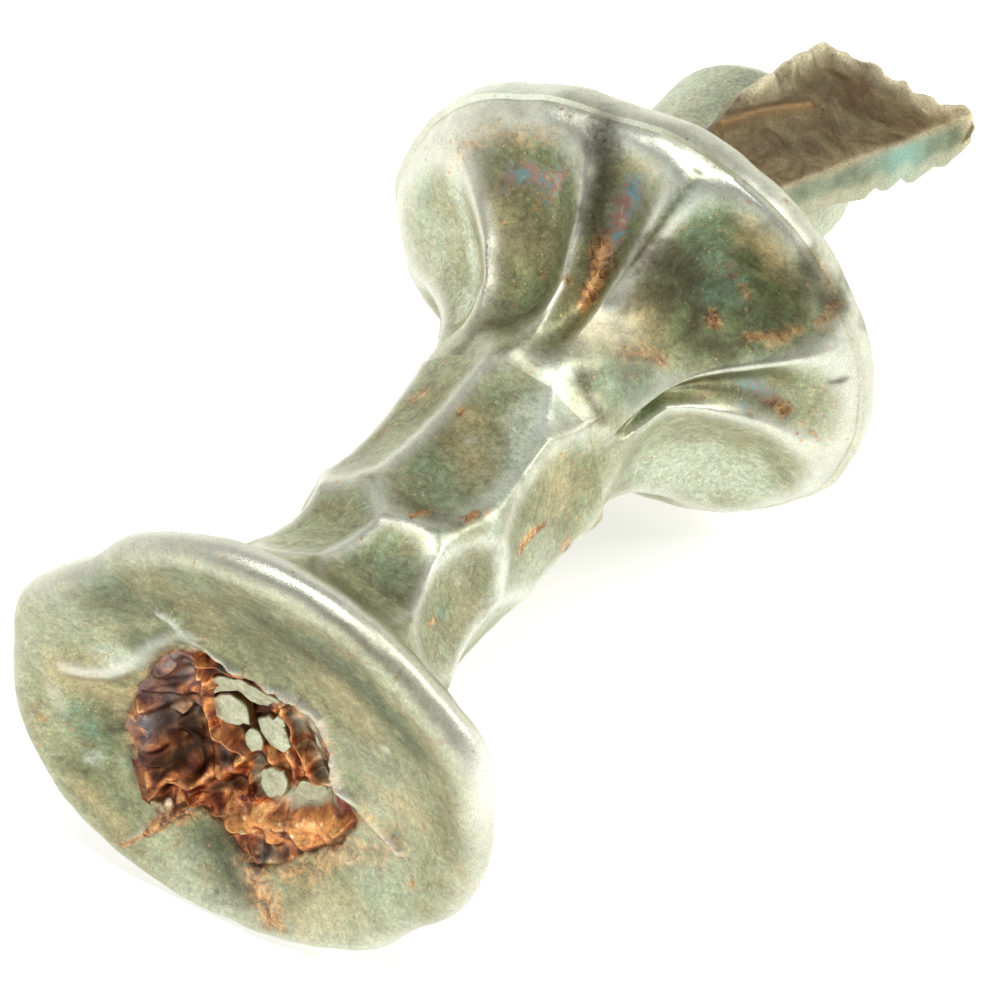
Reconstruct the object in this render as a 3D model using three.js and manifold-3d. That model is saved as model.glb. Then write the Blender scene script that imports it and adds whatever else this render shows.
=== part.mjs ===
// Double-headed nail, hammered white metal over a copper core pin, lying on its side.
//
// Every piece is shaped in the nail's own frame: +Y runs along the pin from the small head
// to the torn tail, y = 0 is the front lip of the small head, and an angle is measured round
// the pin from +Z towards +X. The last section lays the nail down on both heads. Millimetres.

import * as THREE from 'three';
import { mergeVertices } from 'three/addons/utils/BufferGeometryUtils.js';
import createManifold from 'manifold-3d';

const manifoldLibrary = await createManifold();
manifoldLibrary.setup();
const { Manifold, Mesh: ManifoldMesh } = manifoldLibrary;

// ---------------------------------------------------------------- driving dimensions

const SHANK_RADIUS = 4.3;
const PIN_RADIUS = 1.6;
const BORE_RADIUS = 1.68;
const HEAD_JOINT_Y = 6.4;        // small head meets the shank
const WAIST_JOINT_Y = 17.8;      // shank meets the large head
const BACK_FACE_Y = 27.9;        // flat back of the large head
const COLLAR_RADIUS = 3.92;
const COLLAR_END_Y = 36.3;
const PIN_FRONT_Y = 3.6;
const PIN_REAR_Y = 33.2;
const JOINT_GAP = 0.02;          // pieces meet face to face across this gap
const CUT_TOLERANCE = 0.003;     // slivers finer than this are dropped after a cut
const REST_DEPTH = 8.56;         // pin axis above the ground, at y = 0
const LEAN = THREE.MathUtils.degToRad(0.25);   // the large head is bigger, so the pin slopes up

const SMALL_RIM_RADIUS = 9.15;
const LARGE_RIM_RADIUS = 9.4;

const RING_SEGMENTS = 72;

// ---------------------------------------------------------------- materials

function metal(name, colour, roughness, metalness) {
  return new THREE.MeshStandardMaterial({ name, color: colour, roughness, metalness });
}

const whiteMetal = metal('white_metal', 0xa4a389, 0.38, 0.85);
const copper = metal('copper', 0x9a5836, 0.42, 0.9);
const tornMetal = metal('torn_metal', 0x6e6347, 0.5, 0.75);
const paleChip = metal('pale_chip', 0xc3c1ad, 0.3, 0.7);

// ---------------------------------------------------------------- small helpers

const degrees = THREE.MathUtils.degToRad;
const smoothstep = THREE.MathUtils.smoothstep;

function angleBetween(a, b) {
  return Math.atan2(Math.sin(a - b), Math.cos(a - b));
}

// A rounded bump of height 1 on an outline, centred at one angle; a higher power is narrower.
function bump(angle, centre, power) {
  return Math.max(0, Math.cos(angle - degrees(centre))) ** power;
}

// Places where a rim is pushed out or worn in: angle, power (higher is narrower), height.
const SMALL_RIM_BUMPS = [
  [64, 60, 0.5], [126, 60, -0.38], [178, 40, -0.22], [228, 60, 0.25], [248, 4, 0.25],
  [286, 60, 0.33], [315, 60, -0.4],
];
const LARGE_RIM_BUMPS = [
  [106, 16, 0.15], [165, 8, -0.38], [226, 4, -0.6], [235, 30, -0.6], [280, 12, 0.35],
  [311, 30, 0.25], [312, 4, 0.2], [355, 40, -0.36],
];

function totalBump(angle, bumps) {
  return bumps.reduce((sum, [centre, power, height]) => sum + height * bump(angle, centre, power), 0);
}

// Outline radius of each head, round the pin: an oval with worn and pushed-out places.
function smallRim(angle) {
  const long = angle - degrees(52);
  const oval = SMALL_RIM_RADIUS + 0.35 * Math.cos(long) + 0.45 * Math.cos(2 * long);
  return oval + totalBump(angle, SMALL_RIM_BUMPS);
}

function largeRim(angle) {
  const long = angle - degrees(73);
  const oval = LARGE_RIM_RADIUS + 0.25 * Math.cos(long) + 0.2 * Math.cos(2 * long);
  return oval + totalBump(angle, LARGE_RIM_BUMPS);
}

// A closed three.js geometry as a manifold solid, turned inside out if it has to be.
function solidOf(geometry) {
  const bare = new THREE.BufferGeometry();
  bare.setAttribute('position', geometry.getAttribute('position'));
  bare.setIndex(geometry.getIndex());
  const merged = mergeVertices(bare, 1e-5);
  const corner = merged.getIndex().array;
  const kept = [];
  for (let i = 0; i < corner.length; i += 3) {
    const [a, b, c] = corner.slice(i, i + 3);
    if (a !== b && b !== c && c !== a) kept.push(a, b, c);
  }
  const build = (order) => new Manifold(new ManifoldMesh({
    numProp: 3,
    vertProperties: new Float32Array(merged.getAttribute('position').array),
    triVerts: new Uint32Array(order),
  }));
  const solid = build(kept);
  if (solid.volume() > 0) return solid;
  return build(kept.reverse());
}

// The largest body of a solid, as a named three.js mesh.
function meshOf(name, solid, material) {
  const bodies = solid.decompose().sort((a, b) => b.volume() - a.volume());
  const raw = bodies[0].getMesh();
  const geometry = new THREE.BufferGeometry();
  geometry.setAttribute('position', new THREE.BufferAttribute(raw.vertProperties, 3));
  geometry.setIndex(new THREE.BufferAttribute(raw.triVerts, 1));
  geometry.computeVertexNormals();
  const mesh = new THREE.Mesh(geometry, material);
  mesh.name = name;
  return mesh;
}

// A lathe-turned ring or plug whose points are then moved by place(point, angle).
function turned(profile, place, segments = RING_SEGMENTS) {
  const geometry = new THREE.LatheGeometry(profile, segments);
  const position = geometry.getAttribute('position');
  const point = new THREE.Vector3();
  for (let i = 0; i < position.count; i += 1) {
    point.fromBufferAttribute(position, i);
    const row = i % profile.length;
    const column = Math.floor(i / profile.length) % segments;
    const moved = place(profile[row], (column / segments) * 2 * Math.PI, row);
    position.setXYZ(i, moved.x, moved.y, moved.z);
  }
  return solidOf(geometry);
}

function around(radius, y, angle) {
  return new THREE.Vector3(radius * Math.sin(angle), y, radius * Math.cos(angle));
}

// ---------------------------------------------------------------- hammer marks

// Each mark is a shallow oval scoop: y, angle, half length along the pin, half width round
// it, depth. Where two scoops meet they leave a raised ridge.
const SHANK_MARKS = [
  [13.9, 11, 5.2, 2.5, 0.8], [14.6, 326, 5.0, 2.8, 0.7], [15.0, 80, 4.6, 2.9, 0.75],
  [18.2, 38, 2.2, 1.2, 0.3], [7.9, 341, 2.7, 2.3, 0.65], [6.9, 21, 3.0, 2.0, 0.75],
  [8.6, 64, 3.6, 2.0, 0.7], [9.2, 112, 4.4, 2.6, 0.75], [14.2, 138, 4.6, 2.6, 0.7],
  [9.2, 160, 3.3, 2.4, 0.65], [15.0, 188, 4.4, 2.7, 0.7], [8.4, 208, 3.4, 2.5, 0.65],
  [13.8, 236, 4.8, 2.6, 0.7], [8.0, 252, 3.0, 2.2, 0.6], [14.8, 282, 4.6, 2.6, 0.7],
  [8.6, 294, 3.2, 2.4, 0.65],
];

function markDepth(y, angle) {
  let deepest = 0;
  for (const [place, centre, length, width, depth] of SHANK_MARKS) {
    const along = (y - place) / length;
    const across = (angleBetween(angle, degrees(centre)) * SHANK_RADIUS) / width;
    deepest = Math.max(deepest, depth * (1 - along * along - across * across));
  }
  return deepest;
}

// Flutes of the large head: centre and half width at the rim, the same at the waist, depth,
// and where along the pin the flute starts, is full, starts to end and ends.
const FLUTES = [
  [284, 27, 300, 22, 1.1, 17.6, 21.6, 22.8, 25.4],
  [332, 20, 343, 19, 1.2, 17.6, 21.6, 23.0, 25.6],
  [4, 13, 10, 10, 1.0, 17.6, 21.6, 23.6, 25.8],
  [47, 24, 47, 26, 2.2, 20.6, 24.0, 23.6, 26.2],
  [90, 17, 70, 4, 0.9, 17.6, 21.6, 23.6, 25.9],
  [128, 20, 109, 35, 1.3, 17.6, 21.6, 23.2, 25.6],
  [171, 24, 168, 24, 1.2, 17.6, 21.6, 23.0, 25.4],
  [214, 22, 214, 23, 1.1, 17.6, 21.6, 23.0, 25.4],
  [244, 14, 256, 20, 1.1, 17.6, 21.6, 23.0, 25.4],
];

function fluteDepth(y, angle) {
  const outward = THREE.MathUtils.clamp((y - 21.2) / 4.2, 0, 1);
  let deepest = 0;
  for (const flute of FLUTES) {
    const [rim, rimWidth, waist, waistWidth, depth, start, full, ending, end] = flute;
    const centre = degrees(waist) + angleBetween(degrees(rim), degrees(waist)) * outward;
    const width = degrees(THREE.MathUtils.lerp(waistWidth, rimWidth, outward));
    const across = angleBetween(angle, centre) / width;
    const reach = smoothstep(y, start, full) * (1 - smoothstep(y, ending, end));
    deepest = Math.max(deepest, depth * (1 - across * across) * reach);
  }
  return deepest;
}

// ---------------------------------------------------------------- small head

// Outline (x, z) of the torn crater in the dished face.
const CRATER_EDGE = [
  [-3.0, 2.8], [-1.7, 3.1], [-0.8, 2.8], [0.7, 2.6], [2.0, 2.8], [2.7, 2.3], [3.1, 0.5],
  [3.5, -0.8], [4.3, -1.6], [3.7, -3.2], [2.3, -4.8], [1.8, -6.2], [1.7, -7.1], [0.9, -7.3],
  [0.0, -6.9], [-0.9, -5.7], [-1.2, -4.8], [-2.1, -4.5], [-3.2, -5.2], [-4.0, -4.8],
  [-4.4, -3.6], [-4.9, -2.1], [-4.7, -0.6], [-3.9, 1.3],
];

// How far in from the edge of a closed outline a point is, negative outside it.
function insideDistance(x, z, outline) {
  let nearest = Infinity;
  let inside = false;
  outline.forEach(([startX, startZ], i) => {
    const [endX, endZ] = outline[(i + 1) % outline.length];
    const [runX, runZ] = [endX - startX, endZ - startZ];
    const share = ((x - startX) * runX + (z - startZ) * runZ) / (runX * runX + runZ * runZ);
    const along = THREE.MathUtils.clamp(share, 0, 1);
    nearest = Math.min(nearest, Math.hypot(x - startX - along * runX, z - startZ - along * runZ));
    const crosses = (startZ > z) !== (endZ > z);
    if (crosses && x < startX + (runX * (z - startZ)) / runZ) inside = !inside;
  });
  return inside ? nearest : -nearest;
}

const CRATER_DEPTH = 1.9;

function craterDepth(x, z) {
  return CRATER_DEPTH * smoothstep(insideDistance(x, z, CRATER_EDGE), -0.1, 0.7);
}

// Profile of the small head as fractions of the rim radius, from the bore round to the joint.
const FACE_PROFILE = [
  [0.23, 1.58], [0.29, 1.54], [0.35, 1.49], [0.41, 1.43], [0.47, 1.35], [0.53, 1.24],
  [0.59, 1.12], [0.65, 0.98], [0.71, 0.82], [0.78, 0.62], [0.86, 0.38], [0.93, 0.2],
  [0.975, 0.36], [1, 0.85], [0.985, 1.35], [0.94, 1.75],
];
const BACK_OF_SMALL_HEAD = [[7.5, 2.4], [6.5, 3.2], [5.75, 4.0], [5.2, 4.8], [4.85, 5.6]];

// Depth along the pin of the dished face, before it was torn.
function faceHeight(radius) {
  const share = radius / SMALL_RIM_RADIUS;
  const next = Math.max(1, FACE_PROFILE.findIndex(([part]) => part >= share));
  const [[lowPart, lowY], [highPart, highY]] = [FACE_PROFILE[next - 1], FACE_PROFILE[next]];
  return THREE.MathUtils.mapLinear(Math.max(share, lowPart), lowPart, highPart, lowY, highY);
}

function smallHead() {
  const bore = new THREE.Vector2(BORE_RADIUS, 1.62);
  const face = FACE_PROFILE.map(([part, y]) => new THREE.Vector2(part * SMALL_RIM_RADIUS, y));
  const back = BACK_OF_SMALL_HEAD.map(([radius, y]) => new THREE.Vector2(radius, y));
  const joint = HEAD_JOINT_Y - JOINT_GAP;
  const outerJoint = new THREE.Vector2(shankRadius(joint), joint);
  const innerJoint = new THREE.Vector2(BORE_RADIUS, joint);
  const profile = [bore, ...face, ...back, outerJoint, innerJoint, bore];
  const lastFace = face.length;
  const place = (at, angle, row) => {
    if (at.x === BORE_RADIUS) {
      const sunk = at.y < 2 ? craterDepth(at.x * Math.sin(angle), at.x * Math.cos(angle)) : 0;
      return around(at.x, at.y + sunk, angle);
    }
    const oval = 1 + (smallRim(angle) / SMALL_RIM_RADIUS - 1) * (1 - smoothstep(at.y, 1.8, 5.6));
    const radius = at.x * oval - markDepth(at.y, angle) * smoothstep(at.y, 3, 5.5);
    const isFace = row <= lastFace && at.x < 0.9 * SMALL_RIM_RADIUS;
    const sunk = isFace ? craterDepth(radius * Math.sin(angle), radius * Math.cos(angle)) : 0;
    return around(radius, at.y + sunk, angle);
  };
  return turned(profile, place);
}

// ---------------------------------------------------------------- shank

const SHANK_ROWS = 16;

function shankRadius(y) {
  const swell = 0.35 * (1 - smoothstep(y, HEAD_JOINT_Y, 9.2));
  return SHANK_RADIUS + swell;
}

function shank() {
  const start = HEAD_JOINT_Y + JOINT_GAP;
  const end = WAIST_JOINT_Y - JOINT_GAP;
  const profile = [new THREE.Vector2(BORE_RADIUS, start)];
  for (let row = 0; row <= SHANK_ROWS; row += 1) {
    const y = start + ((end - start) * row) / SHANK_ROWS;
    profile.push(new THREE.Vector2(shankRadius(y), y));
  }
  profile.push(new THREE.Vector2(BORE_RADIUS, end), profile[0]);
  const place = (at, angle) => {
    if (at.x === BORE_RADIUS) return around(at.x, at.y, angle);
    return around(at.x - markDepth(at.y, angle), at.y, angle);
  };
  return turned(profile, place);
}

// ---------------------------------------------------------------- large head

const TRUMPET = [
  [SHANK_RADIUS, WAIST_JOINT_Y], [4.32, 18.5], [4.38, 19.2], [4.48, 19.9], [4.66, 20.5],
  [4.9, 21.1], [5.25, 21.7], [5.7, 22.25], [6.2, 22.75], [6.75, 23.2], [7.3, 23.6],
  [7.85, 23.98], [8.35, 24.4], [8.8, 24.85], [9.12, 25.3],
];
const LARGE_LIP = [[9.34, 25.8], [9.4, 26.4], [9.22, 26.95], [8.8, 27.35]];
const BACK_SLOPE = [[7.6, 27.65], [6.2, BACK_FACE_Y], [COLLAR_RADIUS + 0.1, BACK_FACE_Y]];

function largeHead() {
  const joint = WAIST_JOINT_Y + JOINT_GAP;
  const trumpet = TRUMPET.map(([radius, y]) => new THREE.Vector2(radius, Math.max(y, joint)));
  const lip = [...LARGE_LIP, ...BACK_SLOPE].map(([radius, y]) => new THREE.Vector2(radius, y));
  const start = new THREE.Vector2(BORE_RADIUS, joint);
  const end = new THREE.Vector2(BORE_RADIUS, BACK_FACE_Y);
  const profile = [start, ...trumpet, ...lip, end, start];
  const place = (at, angle, row) => {
    if (at.x === BORE_RADIUS) return around(at.x, at.y, angle);
    const oval = 1 + (largeRim(angle) / LARGE_RIM_RADIUS - 1) * smoothstep(at.y, 22, 25);
    if (row > trumpet.length) return around(at.x * oval, at.y, angle);
    const before = profile[Math.max(row - 1, 1)];
    const after = profile[Math.min(row + 1, trumpet.length)];
    const along = after.clone().sub(before).normalize();
    const cut = fluteDepth(at.y, angle) + markDepth(at.y, angle) * (1 - smoothstep(at.y, 18, 20));
    const isJoint = row === 1;
    const lowered = isJoint ? 0 : cut * along.x;
    return around(at.x * oval - cut * (isJoint ? 1 : along.y), at.y + lowered, angle);
  };
  return turned(profile, place);
}

// ---------------------------------------------------------------- copper core

function corePin() {
  const length = PIN_REAR_Y - PIN_FRONT_Y;
  const rod = new THREE.CylinderGeometry(PIN_RADIUS, PIN_RADIUS, length, 24);
  rod.translate(0, (PIN_FRONT_Y + PIN_REAR_Y) / 2, 0);
  return solidOf(rod);
}

// The burst, lumpy end of the copper that fills the crater, just under its edge: its centre,
// how far behind the face its back lies, how far it reaches under the edge, and its columns.
const BURR = { x: -0.6, z: -1.6, back: 2.05, reach: 1.04, columns: 72 };
const CUP = { x: -0.35, z: 0.25, width: 1.75, height: 1.4, depth: 0.22 };
// Lumps on the copper: a line of places (x, z), a width and a height.
const COPPER_LUMPS = [
  { line: [[-0.5, -4.3], [0.4, -4.2], [2.0, -3.3], [3.6, -1.9]], width: 0.6, height: 0.8 },
  { line: [[0, -4.8], [0.9, -6.2]], width: 0.5, height: 0.5 },
  { line: [[-4.1, -4.6], [-2.5, -3.5], [-0.8, -2.0]], width: 0.34, height: 0.55 },
  { line: [[-1.6, -4.4], [-0.1, -3.5]], width: 0.3, height: 0.5 },
];

function lumpHeight(x, z) {
  let highest = 0;
  for (const { line, width, height } of COPPER_LUMPS) {
    for (let i = 1; i < line.length; i += 1) {
      const [start, end] = [new THREE.Vector3(...line[i - 1], 0), new THREE.Vector3(...line[i], 0)];
      const place = new THREE.Vector3(x, z, 0);
      const nearest = new THREE.Line3(start, end).closestPointToPoint(place, true, new THREE.Vector3());
      highest = Math.max(highest, height * Math.exp(-((nearest.distanceTo(place) / width) ** 2)));
    }
  }
  return highest;
}

// Depth of the copper's outer surface along the pin: it sinks away from the crater's edge, and
// most of all on the left flank.
function burrFace(x, z) {
  const inward = insideDistance(x, z, CRATER_EDGE);
  const cup = Math.hypot((x - CUP.x) / CUP.width, (z - CUP.z) / CUP.height);
  const hollow = CUP.depth * (1 - smoothstep(cup, 0.75, 1));
  const flank = 0.7 * Math.exp(-(((x + 3.2) / 0.9) ** 2) - ((z + 1.3) / 1.7) ** 2);
  const sunk = 0.12 + 0.5 * smoothstep(inward, 0, 1.2) + flank + hollow;
  const raised = (lumpHeight(x, z) + 0.12) * smoothstep(inward, -0.2, 0.35);
  return faceHeight(Math.hypot(x, z)) + sunk - raised;
}

const BURR_RINGS = [0, 0.12, 0.24, 0.36, 0.48, 0.6, 0.7, 0.8, 0.89, 0.96, BURR.reach];

function copperBurr() {
  const edge = new THREE.Shape(CRATER_EDGE.map(([x, z]) => new THREE.Vector2(x, z)));
  edge.closePath();
  const outline = edge.getSpacedPoints(BURR.columns);
  const front = BURR_RINGS.map((share) => new THREE.Vector2(share, 0));
  const profile = [...front, new THREE.Vector2(BURR.reach, 1), new THREE.Vector2(0, 1)];
  return turned(profile.reverse(), (at, angle) => {
    const corner = outline[Math.round((angle / (2 * Math.PI)) * BURR.columns) % BURR.columns];
    const x = BURR.x + at.x * (corner.x - BURR.x);
    const z = BURR.z + at.x * (corner.y - BURR.z);
    const y = at.y === 1 ? faceHeight(Math.hypot(x, z)) + BURR.back : burrFace(x, z);
    return new THREE.Vector3(x, y, z);
  }, BURR.columns);
}

// ---------------------------------------------------------------- pale chips

// Thin flakes of white metal on the copper: depth of the front face, lean right, lean up, and
// the outline as (x, z).
const CHIPS = [
  {
    name: 'chip_large', front: 1.98, right: -0.1, up: 0.12,
    outline: [
      [-2.1, 0.1], [-1.5, 0.6], [-0.95, 0.65], [-0.7, 0.55], [-0.5, -0.1], [-1.1, -0.5], [-1.8, -0.6],
    ],
  },
  {
    name: 'chip_sliver', front: 2.05, right: 0.05, up: -0.12,
    outline: [
      [-2.15, 0.5], [-2.1, 1.1], [-1.7, 1.35], [-0.8, 1.75], [0.0, 1.6], [0.7, 1.5], [0.45, 1.1],
      [-0.1, 0.8], [-0.5, 0.85], [-1.1, 1.15], [-1.75, 1.0], [-1.95, 0.45],
    ],
  },
  {
    name: 'chip_middle', front: 1.95, right: 0.12, up: 0.05,
    outline: [
      [-0.7, -0.7], [-0.4, -0.4], [-0.2, -0.5], [-0.05, -0.8], [0, -1.2], [-0.4, -1.4], [-0.6, -1.1],
    ],
  },
  {
    name: 'chip_upper', front: 1.95, right: -0.1, up: 0.1,
    outline: [[-0.2, 0.1], [0.2, 0.5], [0.9, 0.3], [1.15, -0.3], [0.9, -0.7], [0.3, -0.6], [0, -0.3]],
  },
  {
    name: 'chip_edge', front: 1.9, right: 0.15, up: 0,
    outline: [[0.5, 0.62], [0.75, 0.95], [1.0, 0.8], [0.95, 0.5], [0.65, 0.5]],
  },
  {
    name: 'chip_low', front: 1.8, right: -0.06, up: 0.1,
    outline: [[0, -2.3], [0.3, -1.8], [0.85, -1.6], [1.1, -2.2], [0.9, -2.8], [0.35, -3.1], [0.1, -2.9]],
  },
  {
    name: 'chip_right', front: 1.82, right: 0.08, up: -0.05,
    outline: [
      [1.4, -2.1], [1.6, -1.8], [2.05, -1.45], [2.6, -1.5], [2.75, -2.0], [2.2, -2.5], [1.7, -2.8],
      [1.3, -2.6],
    ],
  },
];
const CHIP_THICKNESS = 0.5;

function chip({ front, right, up, outline }) {
  const shape = new THREE.Shape(outline.map(([x, z]) => new THREE.Vector2(x, z)));
  const plate = new THREE.ExtrudeGeometry(shape, { depth: 1, bevelEnabled: false, steps: 1 });
  const middleX = outline.reduce((sum, [x]) => sum + x, 0) / outline.length;
  const middleZ = outline.reduce((sum, [, z]) => sum + z, 0) / outline.length;
  return solidOf(plate).warp((point) => {
    const [x, z, through] = point;
    point[1] = front + CHIP_THICKNESS * (1 - through) + right * (x - middleX) + up * (z - middleZ);
    point[2] = z;
  });
}

// ---------------------------------------------------------------- collar and torn tail

function collar() {
  const start = BACK_FACE_Y + JOINT_GAP;
  const profile = [
    [BORE_RADIUS, start], [COLLAR_RADIUS, start], [COLLAR_RADIUS, COLLAR_END_Y - 0.5],
    [COLLAR_RADIUS - 0.45, COLLAR_END_Y], [0, COLLAR_END_Y], [0, PIN_REAR_Y + JOINT_GAP],
    [BORE_RADIUS, PIN_REAR_Y + JOINT_GAP], [BORE_RADIUS, start],
  ].map(([radius, y]) => new THREE.Vector2(radius, y));
  return solidOf(new THREE.LatheGeometry(profile, 36));
}

// The tail lies across the collar's upper side. Its own axes: "side" points to the right and
// down, "up" points away from the pin, and y still runs along the pin.
const TAIL_ANGLE = degrees(26.6);
const TAIL_SIDE = new THREE.Vector3(Math.cos(TAIL_ANGLE), 0, -Math.sin(TAIL_ANGLE));
const TAIL_UP = new THREE.Vector3(Math.sin(TAIL_ANGLE), 0, Math.cos(TAIL_ANGLE));
const TAIL_THICKNESS = 1.1;
const TAIL_OUTLINE = [
  [-1.8, 30.8], [-1.7, 32.1], [-1.8, 33.9], [-1.45, 35.4], [-1.1, 37.6], [-0.75, 38.9],
  [0.5, 39.5], [1.9, 40.0], [3.25, 40.6], [4.3, 41.15], [5.3, 41.35], [5.55, 41.0],
  [5.4, 39.9], [5.1, 39.4], [4.9, 38.3], [4.45, 37.9], [4.35, 36.9], [3.95, 36.5],
  [3.85, 35.6], [3.25, 34.4], [2.6, 32.6], [2.2, 30.8],
];
const KEEL_START = new THREE.Vector2(1.2, 31.0);
const KEEL_END = new THREE.Vector2(5.0, 41.4);

// Height of the tail's upper face: a shallow hollow, folded down beyond the keel.
function tailHeight(side, y) {
  const run = KEEL_END.clone().sub(KEEL_START);
  const across = ((side - KEEL_START.x) * run.y - (y - KEEL_START.y) * run.x) / run.length();
  const lift = 4 - 0.12 * (y - 32);
  if (across > 0) return lift - 1.15 * across;
  return lift - 0.35 * Math.sin(Math.PI * Math.min(1, -across / 3));
}

// The tail's outline, from "below" under its upper face to "above" over it.
function tailSlab(below, above) {
  const outline = new THREE.Shape(TAIL_OUTLINE.map(([side, y]) => new THREE.Vector2(side, y)));
  const plate = new THREE.ExtrudeGeometry(outline, { depth: 1, bevelEnabled: false, steps: 1 });
  const flat = solidOf(plate).refineToLength(0.9);
  return flat.warp((point) => {
    const [side, y, through] = point;
    const height = tailHeight(side, y) - below + (below + above) * through;
    point[0] = TAIL_SIDE.x * side + TAIL_UP.x * height;
    point[1] = y;
    point[2] = TAIL_SIDE.z * side + TAIL_UP.z * height;
  });
}

// ---------------------------------------------------------------- assembly

const groundNormal = [0, Math.sin(LEAN), Math.cos(LEAN)];
const wornFlat = (solid) => solid.trimByPlane(groundNormal, -REST_DEPTH);

const headSolid = wornFlat(smallHead());
const pinSolid = corePin();
const chipSolids = CHIPS.map((flake) => chip(flake).subtract(headSolid));
const burrSolid = [headSolid, pinSolid, ...chipSolids].reduce(
  (left, taken) => left.subtract(taken),
  copperBurr(),
).simplify(CUT_TOLERANCE);
const tailSolid = tailSlab(TAIL_THICKNESS, 0);
const tornNotch = tailSlab(TAIL_THICKNESS, COLLAR_RADIUS);

const nail = new THREE.Group();
nail.add(
  meshOf('small_head', headSolid, whiteMetal),
  meshOf('faceted_shank', shank(), whiteMetal),
  meshOf('large_head', wornFlat(largeHead()), whiteMetal),
  meshOf('rear_collar', collar().subtract(tornNotch).simplify(CUT_TOLERANCE), whiteMetal),
  meshOf('torn_tail', tailSolid, tornMetal),
  meshOf('core_pin', pinSolid, copper),
  meshOf('copper_burr', burrSolid, copper),
);
CHIPS.forEach(({ name }, i) => nail.add(meshOf(name, chipSolids[i], paleChip)));

// Lay the nail down: lean it so that both heads touch the ground, then centre its footprint.
nail.rotation.x = LEAN;
nail.updateMatrixWorld(true);
const reach = new THREE.Box3().setFromObject(nail, true);
const middle = reach.getCenter(new THREE.Vector3());
nail.position.set(-middle.x, -middle.y, -reach.min.z);

const group = new THREE.Group();
group.add(nail);

export default group;
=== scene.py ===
"""The looks of a short double-headed nail: hammered white metal round a burst copper core.

Shapes are worked out in the nail's own frame, in millimetres, as in the CAD: y runs along the
pin from the small head to the torn tail, and an angle is measured round the pin from up
towards the right. to_world() then lays the nail down and turns millimetres into metres.
"""

import bpy
import numpy as np
from mathutils import Matrix, Vector


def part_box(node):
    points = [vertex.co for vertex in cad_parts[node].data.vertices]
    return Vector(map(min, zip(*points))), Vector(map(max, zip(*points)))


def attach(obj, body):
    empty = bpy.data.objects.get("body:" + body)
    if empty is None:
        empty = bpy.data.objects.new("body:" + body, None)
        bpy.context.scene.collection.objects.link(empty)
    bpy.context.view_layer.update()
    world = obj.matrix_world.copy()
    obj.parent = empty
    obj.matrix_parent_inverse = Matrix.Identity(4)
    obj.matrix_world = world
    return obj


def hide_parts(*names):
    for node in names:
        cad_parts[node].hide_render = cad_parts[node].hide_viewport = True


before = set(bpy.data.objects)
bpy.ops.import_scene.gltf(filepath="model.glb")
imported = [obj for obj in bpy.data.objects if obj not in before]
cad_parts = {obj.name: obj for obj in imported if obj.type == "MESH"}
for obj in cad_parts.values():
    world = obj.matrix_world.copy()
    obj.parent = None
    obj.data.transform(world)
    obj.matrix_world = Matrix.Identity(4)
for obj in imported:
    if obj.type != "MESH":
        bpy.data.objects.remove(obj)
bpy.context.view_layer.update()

# ---------------------------------------------------------------- driving dimensions (mm)

SHANK_RADIUS = 4.3
BORE_RADIUS = 1.68
HEAD_JOINT_Y = 6.4
WAIST_JOINT_Y = 17.8
BACK_FACE_Y = 27.9
COLLAR_RADIUS = 3.92
COLLAR_END_Y = 36.3
PIN_MIDDLE_Y = 18.4
REST_DEPTH = 8.56
LEAN = np.radians(0.25)
MM_PER_METRE = 1000
SMALL_RIM_RADIUS = 9.15
LARGE_RIM_RADIUS = 9.4

HEAD_COLUMNS = 560
SHANK_COLUMNS = 360
ROW_STEP = 0.1           # spacing of mesh rows along a profile
SHANK_RIDGE = 0.26       # how far from a ridge, in depth, the shank is worn bright
FLUTE_RIDGE = 0.34       # the same for the flutes of the large head
SHARP_CORNER = np.radians(55)
CURVE_STEPS = 24         # points between two knots of a smooth curve, before it is resampled
SHANK_ROUNDING = 0.06    # rounding of a ridge of the shank
FLUTE_ROUNDING = 0.28    # rounding of a ridge between two flutes

# ---------------------------------------------------------------- the nail's place in the frame

pin_low, pin_high = (np.array(corner) * MM_PER_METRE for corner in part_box("core_pin"))
LEAN_TURN = np.array([
    [1, 0, 0],
    [0, np.cos(LEAN), -np.sin(LEAN)],
    [0, np.sin(LEAN), np.cos(LEAN)],
])
ORIGIN = (pin_low + pin_high) / 2 - LEAN_TURN @ np.array([0, PIN_MIDDLE_Y, 0])


def to_world(points):
    """Nail frame in millimetres to the CAD's frame in metres."""
    return (np.asarray(points, float) @ LEAN_TURN.T + ORIGIN) / MM_PER_METRE


GROUND_NORMAL = np.array([0, np.sin(LEAN), np.cos(LEAN)])


def flatten_rest(points):
    """The worn flat that a head rests on: nothing reaches below the ground."""
    below = np.minimum(0, points @ GROUND_NORMAL + REST_DEPTH)
    return points - below[..., None] * GROUND_NORMAL


# ---------------------------------------------------------------- small helpers


def smoothstep(value, low, high):
    t = np.clip((value - low) / (high - low), 0, 1)
    return t * t * (3 - 2 * t)


def angle_between(a, b):
    return np.arctan2(np.sin(a - b), np.cos(a - b))


def bump(angle, centre, power):
    """A rounded bump of height 1 on an outline, centred at one angle in degrees."""
    return np.maximum(0, np.cos(angle - np.radians(centre))) ** power


def on_plane(x, z):
    """Points of the nail frame on the plane y = 0."""
    return np.stack([x, np.zeros_like(x), z], -1)


def around(radius, y, angle):
    """Points of the nail frame from a radius, a height along the pin and an angle."""
    radius, y, angle = np.broadcast_arrays(radius, y, angle)
    return np.stack([radius * np.sin(angle), y, radius * np.cos(angle)], -1)


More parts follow.
